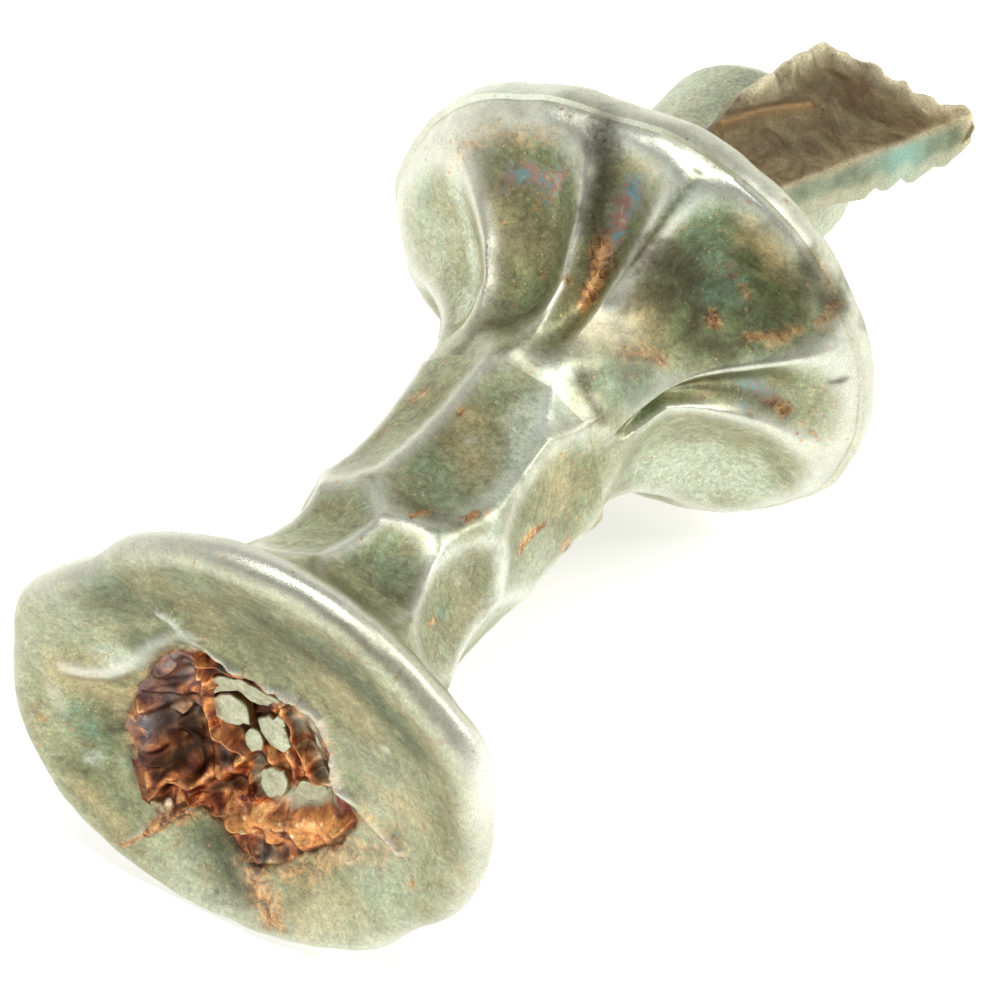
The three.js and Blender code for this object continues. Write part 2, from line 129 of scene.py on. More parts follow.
def waves(points, size, seed, count=16):
    """A smooth random field, about -1 to 1, whose features are about size mm across."""
    random = np.random.default_rng(seed)
    heading = random.normal(size=(count, 3))
    heading *= (random.uniform(0.6, 1.4, count) / np.linalg.norm(heading, axis=1))[:, None]
    turns = heading * np.pi / size
    phase = random.uniform(0, 2 * np.pi, count)
    return np.sin(points @ turns.T + phase).sum(-1) / np.sqrt(count)


def smooth_curve(knots, step):
    """Points about step apart on a smooth curve through the knots."""
    knots = np.asarray(knots, float)
    padded = np.vstack([2 * knots[0] - knots[1], knots, 2 * knots[-1] - knots[-2]])
    pieces = []
    for i in range(len(knots) - 1):
        before, start, end, after = padded[i:i + 4]
        t = np.linspace(0, 1, CURVE_STEPS, endpoint=False)[:, None]
        pieces.append(0.5 * (
            2 * start + (end - before) * t
            + (2 * before - 5 * start + 4 * end - after) * t ** 2
            + (3 * start - before - 3 * end + after) * t ** 3
        ))
    dense = np.vstack([*pieces, knots[-1:]])
    return evenly(dense, step)


def evenly(line, step):
    """The same line, resampled at about equal steps."""
    line = np.asarray(line, float)
    length = np.r_[0, np.cumsum(np.linalg.norm(np.diff(line, axis=0), axis=1))]
    wanted = np.linspace(0, length[-1], max(2, int(length[-1] / step) + 1))
    return np.stack([np.interp(wanted, length, axis) for axis in line.T], -1)


def closed_outline(corners, step):
    """Points about step apart round a closed outline."""
    return evenly([*corners, corners[0]], step)[:-1]


def scaled_outline(outline, middle, shares):
    """Grids of x and z: the outline drawn at several shares of its distance from the middle."""
    return [centre + shares * (axis - centre) for centre, axis in zip(middle, outline.T)]


def line_distance(points, line):
    """Distance from each point to a line through a few places."""
    line = np.asarray(line, float)
    if len(line) == 1:
        return np.linalg.norm(points - line[0], axis=-1)
    nearest = np.full(points.shape[:-1], np.inf)
    for start, end in zip(line[:-1], line[1:]):
        run = end - start
        along = np.clip((points - start) @ run / (run @ run), 0, 1)
        gap = np.linalg.norm(points - start - along[..., None] * run, axis=-1)
        nearest = np.minimum(nearest, gap)
    return nearest


def ridge(points, line, width):
    """1 on a line, falling smoothly to 0 about two widths away."""
    return np.exp(-(line_distance(points, line) / width) ** 2)


def painted(points, marks, ragged=0.35, seed=3):
    """A mask from 0 to 1. Each mark is a line of places, a width in mm and a strength."""
    rough = 1 + ragged * waves(points, 0.7, seed) + 0.5 * ragged * waves(points, 0.25, seed + 1)
    mask = np.zeros(points.shape[:-1])
    for line, width, strength in marks:
        gap = line_distance(points, line) * rough
        mask = np.maximum(mask, strength * np.exp(-(gap / width) ** 2))
    return mask


def flat_marks(marks):
    """Marks whose places are given as (x, z), with their places on the plane y = 0."""
    return [([(x, 0, z) for x, z in line], width, strength) for line, width, strength in marks]


def pin_marks(marks):
    """Marks whose places are given as (place along the pin, angle in degrees, radius)."""
    return [
        ([around(radius, y, np.radians(angle)) for y, angle, radius in line], width, strength)
        for line, width, strength in marks
    ]


def merged_scoops(depths, ridge_band, rounding):
    """Depth where several scoops overlap, and a mask that is 1 on the ridges between them."""
    stack = np.sort(np.stack(depths), axis=0)
    gap = stack[-1] - stack[-2]
    soft = rounding * np.exp(-gap / rounding) * 0.7
    return stack[-1] + soft, np.exp(-(gap / ridge_band) ** 2)


def turned_grid(profile, outer_rows, columns):
    """Angle, radius, height and outside mask of a profile (radius, y) turned round the pin."""
    angle = np.linspace(0, 2 * np.pi, columns, endpoint=False)[None, :]
    is_outer = (np.arange(len(profile)) < outer_rows)[:, None]
    return angle, profile[:, :1], profile[:, 1:], is_outer


def ring_faces(rows, columns):
    """Quads of a grid whose rows and columns both wrap round."""
    index = np.arange(rows * columns).reshape(rows, columns)
    below = np.roll(index, -1, axis=0)
    corners = [index, np.roll(index, -1, axis=1), np.roll(below, -1, axis=1), below]
    return np.stack(corners, -1).reshape(-1, 4).tolist()


def capped_faces(rows, columns):
    """Faces of a grid whose columns wrap round, with a cap over its first and its last row."""
    sides = ring_faces(rows, columns)[:(rows - 1) * columns]
    first = list(range(columns))
    last = [(rows - 1) * columns + i for i in first]
    return [*sides, first[::-1], last]


MASKS = ("worn", "hollow", "dark", "green", "copper", "stain", "pale", "tan")


def add_object(name, data):
    """A new object in the scene."""
    made = bpy.data.objects.new(name, data)
    bpy.context.scene.collection.objects.link(made)
    return made


def make_piece(name, points, faces, material, node, masks):
    """A smooth mesh piece that stands for a CAD node and rides on the nail.

    Each mask is a number, or an array that fits the grid of points, from 0 to 1.
    """
    mesh = bpy.data.meshes.new(name)
    mesh.from_pydata(to_world(points.reshape(-1, 3)).tolist(), [], faces)
    mesh.update()
    mesh.shade_smooth()
    mesh.set_sharp_from_angle(angle=SHARP_CORNER)
    for mask_name in MASKS:
        values = np.broadcast_to(masks.get(mask_name, 0.0), points.shape[:-1])
        attribute = mesh.attributes.new(mask_name, "FLOAT", "POINT")
        attribute.data.foreach_set("value", np.clip(values, 0, 1).astype(np.float32).ravel())
    mesh.materials.append(material)
    piece = add_object(name, mesh)
    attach(piece, "root")
    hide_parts(node)


# ---------------------------------------------------------------- materials


def add_node(tree, kind, inputs=None, **settings):
    """A shader node with its settings, and its inputs set to values or linked to sockets."""
    made = tree.nodes.new(kind)
    for setting, value in settings.items():
        setattr(made, setting, value)
    for socket, value in (inputs or {}).items():
        if isinstance(value, bpy.types.NodeSocket):
            tree.links.new(value, made.inputs[socket])
        else:
            made.inputs[socket].default_value = value
    return made


class Paint:
    """Short names for the shader nodes that the materials are made of."""

    def __init__(self, name):
        self.material = bpy.data.materials.new(name)
        self.material.use_nodes = True
        self.tree = self.material.node_tree
        self.shader = self.tree.nodes["Principled BSDF"]
        coordinates = add_node(self.tree, "ShaderNodeTexCoord")
        scale = {"Vector": coordinates.outputs["Object"], "Scale": [MM_PER_METRE] * 3}
        self.millimetres = add_node(self.tree, "ShaderNodeMapping", scale).outputs[0]

    def mask(self, name):
        return add_node(self.tree, "ShaderNodeAttribute", attribute_name=name).outputs["Fac"]

    def noise(self, per_mm, detail=4.0, roughness=0.55, warp=0.0, low=0.35, high=0.65):
        """Cloudy noise, stretched so that low becomes 0 and high becomes 1."""
        cloud = add_node(self.tree, "ShaderNodeTexNoise", {
            "Vector": self.millimetres, "Scale": per_mm, "Detail": detail,
            "Roughness": roughness, "Distortion": warp,
        })
        return self.remap(cloud.outputs["Fac"], low, high)

    def remap(self, value, low, high, to_low=0.0, to_high=1.0):
        return add_node(self.tree, "ShaderNodeMapRange", {
            "Value": value, "From Min": low, "From Max": high, "To Min": to_low, "To Max": to_high,
        }).outputs["Result"]

    def math(self, operation, a, b):
        return add_node(self.tree, "ShaderNodeMath", {0: a, 1: b}, operation=operation).outputs[0]

    def times(self, a, b):
        return self.math("MULTIPLY", a, b)

    def plus(self, a, b):
        return self.math("ADD", a, b)

    def patchy(self, mask, noise, low, high=1.0):
        """A mask, times a value that runs from low to high with the noise."""
        return self.times(self.mask(mask), self.remap(noise, 0, 1, low, high))

    def flecks(self, per_mm, size):
        """Small scattered dots, 1 at each dot and 0 between them."""
        cells = add_node(self.tree, "ShaderNodeTexVoronoi", {
            "Vector": self.millimetres, "Scale": per_mm, "Randomness": 1.0,
        })
        return self.remap(cells.outputs["Distance"], size, size * 0.4)

    def put(self, socket, value):
        """Sets an input socket to a number or a colour, or links another socket to it."""
        if isinstance(value, bpy.types.NodeSocket):
            self.tree.links.new(value, socket)
        elif isinstance(value, tuple):
            socket.default_value = (*value, 1.0)
        else:
            socket.default_value = value

    def mix(self, share, first, second, blend="MIX"):
        """Colour first, turning into second where share is 1."""
        made = add_node(self.tree, "ShaderNodeMix", data_type="RGBA", blend_type=blend)
        for socket, value in ((0, share), (6, first), (7, second)):
            self.put(made.inputs[socket], value)
        return made.outputs[2]

    def shade(self, colour, noise, low, high):
        """The colour times a brightness that runs from low to high with the noise."""
        return self.mix(1.0, colour, self.remap(noise, 0, 1, low, high), blend="MULTIPLY")

    def ramp(self, value, stops):
        """A colour from a few stops, each a place from 0 to 1 and a colour."""
        made = add_node(self.tree, "ShaderNodeValToRGB", {"Fac": value})
        elements = made.color_ramp.elements
        while len(elements) < len(stops):
            elements.new(0.5)
        for element, (place, colour) in zip(elements, stops):
            element.position = place
            element.color = (*colour, 1.0)
        return made.outputs["Color"]

    def finish(self, colour, metallic, roughness, height, relief):
        """Sets the shader; height is bumpy by relief, in mm."""
        settings = {"Base Color": colour, "Metallic": metallic, "Roughness": roughness}
        for socket, value in settings.items():
            self.put(self.shader.inputs[socket], value)
        bumps = add_node(self.tree, "ShaderNodeBump", {
            "Height": height, "Strength": 1.0, "Distance": relief / MM_PER_METRE,
        })
        self.put(self.shader.inputs["Normal"], bumps.outputs["Normal"])
        return self.material


SILVER = (0.46, 0.47, 0.29)
OLIVE = (0.29, 0.28, 0.15)
SAGE = (0.33, 0.39, 0.23)
UMBER = (0.32, 0.24, 0.12)
BRIGHT = (0.92, 0.93, 0.82)
SOOT_AND_SHADE = (0.055, 0.045, 0.022)
DEEP = (0.12, 0.11, 0.045)
VERDIGRIS = (0.19, 0.26, 0.11)
TEAL = (0.27, 0.42, 0.32)
TAN = (0.86, 0.67, 0.35)


def white_metal(name):
    """Hammered silvery metal: patina in the hollows, bright worn ridges, copper showing through,
    and painted shade, highlights and reflections from the masks.
    """
    paint = Paint(name)
    broad = paint.noise(0.3, detail=3, low=0.38, high=0.62)
    middle = paint.noise(1.1, detail=5, roughness=0.65, warp=0.6)
    mottle = paint.noise(2.3, detail=6, roughness=0.75, warp=0.8, low=0.38, high=0.62)
    fine = paint.noise(5.0, detail=6, roughness=0.8)
    grain = paint.noise(14.0, detail=4, roughness=0.8)
    colour = paint.mix(broad, OLIVE, SILVER)
    colour = paint.mix(paint.times(middle, 0.35), colour, SAGE)
    brown = paint.noise(0.7, detail=5, roughness=0.7, warp=1.0, low=0.50, high=0.72)
    colour = paint.mix(paint.times(brown, 0.7), colour, UMBER)
    teal_spots = paint.noise(0.9, detail=6, roughness=0.8, warp=1.5, low=0.62, high=0.76)
    colour = paint.mix(paint.times(teal_spots, 0.35), colour, TEAL)
    colour = paint.shade(colour, mottle, 0.80, 1.22)

    # Hollow: patina in the hammer marks and flutes, and painted shade where the face and flare are
    # marked dark.
    hollow = paint.patchy("hollow", middle, 1.0, 0.65)
    colour = paint.mix(hollow, colour, paint.mix(mottle, DEEP, VERDIGRIS))
    green = paint.patchy("green", middle, 0.6)
    colour = paint.mix(green, colour, paint.mix(mottle, VERDIGRIS, TEAL))
    # Pale: painted highlights and reflections on the skin, and a painted glare over the collar.
    pale = paint.patchy("pale", fine, 0.75)
    colour = paint.mix(pale, colour, (0.68, 0.76, 0.60))
    tan = paint.patchy("tan", mottle, 0.55)
    colour = paint.mix(tan, colour, TAN)
    colour = paint.shade(colour, fine, 0.74, 1.24)
    colour = paint.shade(colour, grain, 0.80, 1.2)
    # Worn: rubbed ridges, and painted highlights along the rims and the face's fold crests.
    worn = paint.patchy("worn", grain, 0.6)
    colour = paint.mix(worn, colour, BRIGHT)
    gold_dots = paint.times(paint.flecks(3.6, 0.20), paint.noise(0.8, low=0.44, high=0.54))
    gold = paint.mix(paint.noise(2.0), (0.62, 0.32, 0.13), (0.95, 0.72, 0.40))
    colour = paint.mix(paint.times(gold_dots, 0.8), colour, gold)
    rust_dots = paint.times(paint.flecks(1.9, 0.17), paint.noise(0.6, low=0.50, high=0.56))
    rust = paint.mix(paint.noise(3.0), (0.42, 0.17, 0.07), (0.80, 0.48, 0.22))
    colour = paint.mix(paint.times(rust_dots, 0.75), colour, rust)

    edge = paint.times(paint.math("SUBTRACT", fine, 0.5), 0.6)
    copper_share = paint.remap(paint.plus(paint.mask("copper"), edge), 0.25, 0.95)
    copper_tones = paint.ramp(mottle, [
        (0.0, (0.11, 0.05, 0.028)), (0.3, (0.34, 0.15, 0.07)),
        (0.6, (0.62, 0.31, 0.12)), (1.0, (0.94, 0.58, 0.26)),
    ])
    colour = paint.mix(copper_share, colour, copper_tones)
    stain_share = paint.remap(paint.plus(paint.mask("stain"), edge), 0.25, 0.95)
    swirl = paint.noise(1.1, detail=7, roughness=0.85, warp=1.0, low=0.38, high=0.62)
    stain_tones = paint.ramp(swirl, [
        (0.0, (0.30, 0.50, 0.46)), (0.3, (0.19, 0.30, 0.36)), (0.5, (0.36, 0.36, 0.28)),
        (0.66, (0.40, 0.14, 0.14)), (0.8, (0.62, 0.34, 0.20)), (1.0, (0.36, 0.48, 0.42)),
    ])
    colour = paint.mix(stain_share, colour, stain_tones)
    # Dark: mostly painted shade and painted shadows.
    dark = paint.patchy("dark", fine, 1.0, 0.7)
    colour = paint.mix(dark, colour, SOOT_AND_SHADE)

    duller = paint.math("SUBTRACT", worn, paint.times(fine, 0.3))
    duller = paint.math("SUBTRACT", duller, paint.times(hollow, 0.6))
    roughness = paint.remap(duller, -0.9, 1, 0.50, 0.20)
    matte = paint.math("MAXIMUM", paint.math("MAXIMUM", dark, hollow), tan)
    metallic = paint.remap(matte, 0, 1, 0.97, 0.6)
    height = paint.plus(paint.times(fine, 0.7), paint.times(grain, 0.3))
    return paint.finish(colour, metallic, roughness, height, relief=0.005)


def burst_copper():
    """Lumpy red-brown copper: painted shade in the folds, painted shadows, painted orange
    highlights and glints on the lumps, blue patches.
    """
    paint = Paint("burst_copper")
    tones = paint.ramp(paint.noise(1.3, detail=5, roughness=0.65, warp=0.8, low=0.34, high=0.66), [
        (0.0, (0.07, 0.022, 0.016)), (0.3, (0.24, 0.065, 0.035)),
        (0.55, (0.50, 0.17, 0.065)), (0.8, (0.80, 0.34, 0.12)), (1.0, (1.0, 0.58, 0.24)),
    ])
    fine = paint.noise(4.5, detail=6, roughness=0.8)
    grain = paint.noise(14.0, detail=4, roughness=0.8)
    plum = paint.noise(0.9, detail=4, roughness=0.7, warp=1.0, low=0.55, high=0.68)
    colour = paint.mix(paint.times(plum, 0.6), tones, (0.26, 0.10, 0.12))
    # Painted highlights: orange on the raised lumps, with glints on them.
    lump_highlight = paint.patchy("worn", fine, 0.10)
    colour = paint.mix(lump_highlight, colour, (0.98, 0.50, 0.17))
    lump_glints = paint.times(paint.flecks(3.2, 0.34), paint.mask("worn"))
    colour = paint.mix(lump_glints, colour, (1.0, 0.78, 0.45))
    clouds = paint.noise(1.2, detail=4, roughness=0.7)
    patches = paint.mix(clouds, (0.15, 0.10, 0.12), (0.27, 0.34, 0.34))
    share = paint.patchy("stain", grain, 0.6)
    colour = paint.mix(share, colour, patches)
    grey = paint.mix(fine, (0.36, 0.37, 0.24), (0.60, 0.62, 0.46))
    share = paint.patchy("pale", grain, 0.8)
    colour = paint.mix(share, colour, grey)
    # Painted shade in the folds and painted shadows.
    colour = paint.mix(paint.mask("dark"), colour, (0.05, 0.028, 0.018))
    colour = paint.shade(colour, grain, 0.86, 1.12)
    height = paint.plus(fine, paint.times(grain, 0.4))
    return paint.finish(colour, 1.0, paint.remap(fine, 0, 1, 0.10, 0.26), height, relief=0.007)


def pale_flake():
    """Thin flakes of pale metal, satin, with a faint streaky grain."""
    paint = Paint("pale_flake")
    streaks = paint.noise(2.5, detail=5, roughness=0.7, warp=0.4)
    fine = paint.noise(9.0, detail=5, roughness=0.7)
    colour = paint.mix(streaks, (0.42, 0.43, 0.27), (0.72, 0.72, 0.52))
    colour = paint.shade(colour, fine, 0.8, 1.15)
    colour = paint.mix(paint.mask("copper"), colour, (0.36, 0.20, 0.06))
    return paint.finish(colour, 0.7, paint.remap(fine, 0, 1, 0.28, 0.45), fine, relief=0.006)


def torn_metal():
    """The torn tail: dark brown hollow with painted shade, pale ragged lip with painted highlights,
    green and teal on the folded flange.
    """
    paint = Paint("torn_metal")
    fine = paint.noise(4.0, detail=6, roughness=0.8)
    grain = paint.noise(14.0, detail=4, roughness=0.8)
    tones = paint.ramp(paint.noise(0.7, detail=6, roughness=0.75, warp=0.8, low=0.38, high=0.62), [
        (0.0, (0.14, 0.075, 0.035)), (0.5, (0.25, 0.18, 0.09)), (1.0, (0.38, 0.32, 0.18)),
    ])
    colour = paint.mix(paint.times(fine, 0.3), tones, (0.30, 0.25, 0.14))
    # The flange's paler tones are a painted reflection of the floor.
    pale_tones = paint.mix(paint.noise(1.2, detail=5), (0.20, 0.23, 0.14), (0.32, 0.37, 0.25))
    colour = paint.mix(paint.mask("pale"), colour, pale_tones)
    colour = paint.mix(paint.mask("green"), colour, (0.30, 0.50, 0.40))
    colour = paint.mix(paint.mask("copper"), colour, (0.55, 0.32, 0.13))
    # Painted highlights, with wear, along the tail's edges.
    worn = paint.patchy("worn", fine, 0.45)
    colour = paint.mix(worn, colour, (0.84, 0.76, 0.52))
    # Painted shade deep in the hollow.
    colour = paint.mix(paint.mask("dark"), colour, (0.06, 0.045, 0.022))
    colour = paint.shade(colour, grain, 0.7, 1.25)
    height = paint.plus(fine, paint.times(grain, 0.4))
    return paint.finish(colour, 0.85, paint.remap(fine, 0, 1, 0.25, 0.45), height, relief=0.012)


HAMMERED = white_metal("hammered_metal")
COPPER = burst_copper()
FLAKE = pale_flake()
TORN = torn_metal()

# ---------------------------------------------------------------- outlines and hammer marks

# Outline of a rim: the angle of its long side, how far it is pushed that way, how oval it is,
# and its bumps and worn places: angle, power (higher is narrower) and height.
SMALL_RIM = (52, 0.35, 0.45, [
    (64, 60, 0.50), (126, 60, -0.38), (178, 40, -0.22), (228, 60, 0.25), (248, 4, 0.25),
    (286, 60, 0.33), (315, 60, -0.40),
])
LARGE_RIM = (73, 0.25, 0.2, [
    (106, 16, 0.15), (165, 8, -0.38), (226, 4, -0.60), (235, 30, -0.60), (280, 12, 0.35),
    (311, 30, 0.25), (312, 4, 0.20), (355, 40, -0.36),
])


def rim_share(angle, radius, outline):
    """How far a rim's outline goes at an angle, as a share of its plain radius."""
    long_side, push, stretch, bumps = outline
    turn = angle - np.radians(long_side)
    oval = radius + push * np.cos(turn) + stretch * np.cos(2 * turn)
    worn = sum(height * bump(angle, centre, power) for centre, power, height in bumps)
    return (oval + worn) / radius


# Shallow oval hammer marks: place along the pin, angle, half length, half width, depth.
SHANK_MARKS = [
    (13.9, 11, 5.2, 2.5, 0.80), (14.6, 326, 5.0, 2.8, 0.70), (15.0, 80, 4.6, 2.9, 0.75),
    (18.2, 38, 2.2, 1.2, 0.30), (7.9, 341, 2.7, 2.3, 0.65), (6.9, 21, 3.0, 2.0, 0.75),
    (8.6, 64, 3.6, 2.0, 0.70), (9.2, 112, 4.4, 2.6, 0.75), (14.2, 138, 4.6, 2.6, 0.70),
    (9.2, 160, 3.3, 2.4, 0.65), (15.0, 188, 4.4, 2.7, 0.70), (8.4, 208, 3.4, 2.5, 0.65),
    (13.8, 236, 4.8, 2.6, 0.70), (8.0, 252, 3.0, 2.2, 0.60), (14.8, 282, 4.6, 2.6, 0.70),
    (8.6, 294, 3.2, 2.4, 0.65),
]


def shank_scoops(y, angle):
    """Depth of the hammer marks, and a mask of the ridges between them."""
    depths = [np.zeros(np.broadcast(y, angle).shape)]
    for place, centre, length, width, depth in SHANK_MARKS:
        along = (y - place) / length
        across = angle_between(angle, np.radians(centre)) * SHANK_RADIUS / width
        depths.append(depth * (1 - along ** 2 - across ** 2))
    deepest, edges = merged_scoops(depths, SHANK_RIDGE, SHANK_ROUNDING)
    return deepest, edges * (0.25 + 0.75 * smoothstep(deepest, 0.05, 0.2))


# Flutes of the large head: centre and half width at the rim, the same at the waist, depth,
# the places along the pin where the flute starts, is full, starts to end and ends, and how
# dark its patina is.
FLUTES = [
    (284, 27, 300, 22, 1.1, 17.6, 21.6, 22.8, 25.4, 0.0),
    (332, 20, 343, 19, 1.2, 17.6, 21.6, 23.0, 25.6, 0.9),
    (4, 13, 10, 10, 1.0, 17.6, 21.6, 23.6, 25.8, 0.5),
    (47, 24, 47, 26, 2.2, 20.6, 24.0, 23.6, 26.2, 1.0),
    (90, 17, 70, 4, 0.9, 17.6, 21.6, 23.6, 25.9, 0.0),
    (128, 20, 109, 35, 1.3, 17.6, 21.6, 23.2, 25.6, 0.0),
    (171, 24, 168, 24, 1.2, 17.6, 21.6, 23.0, 25.4, 0.1),
    (214, 22, 214, 23, 1.1, 17.6, 21.6, 23.0, 25.4, 0.1),
    (244, 14, 256, 20, 1.1, 17.6, 21.6, 23.0, 25.4, 0.0),
]


def flute_scoops(y, angle):
    """Depth of the flutes, a mask of the ridges between them, and a mask of their dark patina."""
    outward = np.clip((y - 21.2) / 4.2, 0, 1)
    depths = [np.zeros(np.broadcast(y, angle).shape)]
    patina = depths[0]
    for rim, rim_width, waist, waist_width, depth, start, full, ending, end, darkness in FLUTES:
        turn = angle_between(np.radians(rim), np.radians(waist))
        width = np.radians(waist_width + (rim_width - waist_width) * outward)
        across = angle_between(angle, np.radians(waist) + turn * outward) / width
        reach = smoothstep(y, start, full) * (1 - smoothstep(y, ending, end))
        depths.append(depth * (1 - across ** 2) * reach)
        patina = np.maximum(patina, darkness * smoothstep(depths[-1], 0.1, 0.45 * depth))
    deepest, edges = merged_scoops(depths, FLUTE_RIDGE, FLUTE_ROUNDING)
    edges = edges * smoothstep(deepest, 0.02, 0.25)
    return deepest, edges * smoothstep(y, 17.6, 21.6), patina * smoothstep(y, 19.0, 21.0)


def shank_radius(y):
    """Radius before it was hammered: a little more where the neck of the small head begins."""
    return SHANK_RADIUS + 0.35 * (1 - smoothstep(y, HEAD_JOINT_Y, 9.2))


# ---------------------------------------------------------------- small head

CRATER_DEPTH = 1.9
COPPER_FRINGE = 0.35      # how far copper specks reach over the crater's edge
# Outline (x, z) of the torn crater in the dished face. No two corners in a row share a z.
CRATER_EDGE = [
    (-3.0, 2.8), (-1.7, 3.1), (-0.8, 2.8), (0.7, 2.6), (2.0, 2.8), (2.7, 2.3), (3.1, 0.5),
    (3.5, -0.8), (4.2, -1.6), (3.7, -3.0), (2.4, -4.4), (1.4, -5.3), (0.5, -5.8), (-0.4, -5.6),
    (-1.2, -4.8), (-2.1, -4.5), (-3.2, -5.2), (-4.0, -4.8), (-4.4, -3.6), (-4.9, -2.1),
    (-4.7, -0.6), (-3.9, 1.3),
]


def inside_crater(flat):
    """How far in from the crater's edge each point of the face is, negative outside it."""
    closed = np.array([*CRATER_EDGE, CRATER_EDGE[0]])
    gap = line_distance(flat[..., ::2], closed)
    x, z = flat[..., 0], flat[..., 2]
    inside = np.zeros(x.shape, bool)
    for (start_x, start_z), (end_x, end_z) in zip(closed[:-1], closed[1:]):
        crossing = start_x + (end_x - start_x) * (z - start_z) / (end_z - start_z)
        inside ^= ((start_z > z) != (end_z > z)) & (x < crossing)
    return np.where(inside, gap, -gap)


def crater_depth(x, z):
    """Depth of the crater that the burst copper fills."""
    flat = on_plane(x, z)
    inward = inside_crater(flat)
    inward = inward + 0.12 * waves(flat, 1.0, 11) + 0.05 * waves(flat, 0.35, 12)
    return CRATER_DEPTH * smoothstep(inward, -0.1, 0.7)


# Raised folds of the torn face, as lines of places (x, z), with a width and a height.
FACE_FOLDS = [
    ([(-1.7, 3.2), (-0.8, 2.9), (0.7, 2.7), (2.0, 2.9), (2.7, 2.5), (2.9, 1.5), (3.1, 0.5),
      (3.4, -0.5), (3.9, -0.8), (4.9, -1.3), (6.1, -1.5)], 0.28, 0.30),
    ([(-7.0, 0.2), (-5.5, 0.4), (-4.6, 1.3), (-3.8, 2.2), (-2.9, 3.4), (-2.2, 3.8)], 0.45, 0.24),
    ([(-3.2, 4.6), (-2.7, 4.0), (-2.1, 3.4)], 0.25, 0.26),
    ([(-5.6, -7.6), (-4.6, -6.8), (-3.8, -6.1), (-2.8, -4.9), (-2.0, -4.0)], 0.2, 0.3),
    ([(-3.3, -5.0), (-2.6, -4.6)], 0.35, 0.25),
    ([(0.3, -5.9), (0.8, -6.4), (1.3, -7.0)], 0.6, 0.16),
    ([(-8.0, 0.3), (-7.0, -2.0)], 0.5, 0.1),
]
# Section of the small head from the bore over the dished face to the outside of the rim:
# radius as a share of the rim's, and place along the pin. The back goes on as (radius, place).
FACE_PROFILE = [
    (0.184, 1.62), (0.23, 1.58), (0.35, 1.49), (0.47, 1.35), (0.59, 1.12), (0.71, 0.82),
    (0.78, 0.62), (0.86, 0.38), (0.93, 0.2), (0.975, 0.36), (1, 0.85), (0.985, 1.35), (0.94, 1.75),
]
DISHED_POINTS = 9         # how many of them lie on the dished face
BACK_OF_SMALL_HEAD = [(7.5, 2.4), (6.5, 3.2), (5.75, 4.0), (5.2, 4.8), (4.85, 5.6)]


def face_height(radius):
    """Depth along the pin of the dished face, before it was torn."""
    shares, depths = zip(*FACE_PROFILE[:DISHED_POINTS])
    return np.interp(radius / SMALL_RIM_RADIUS, shares, depths)


def torn_folds(flat):
    """Height of the raised folds of the face."""
    varied = 1 + 0.4 * waves(flat, 0.9, 21)
    folds = np.zeros(flat.shape[:-1])
    for line, width, height in flat_marks(FACE_FOLDS):
        folds = np.maximum(folds, height * varied * ridge(flat, line, width))
    return folds


def rim_wear_and_highlight(profile, width):
    """1 on the widest row of a profile, where a rim is rubbed and carries a painted highlight, and
    falling off on both sides.
    """
    rows = np.arange(len(profile))[:, None] - int(np.argmax(profile[:, 0]))
    return np.exp(-(rows * ROW_STEP / width) ** 2)


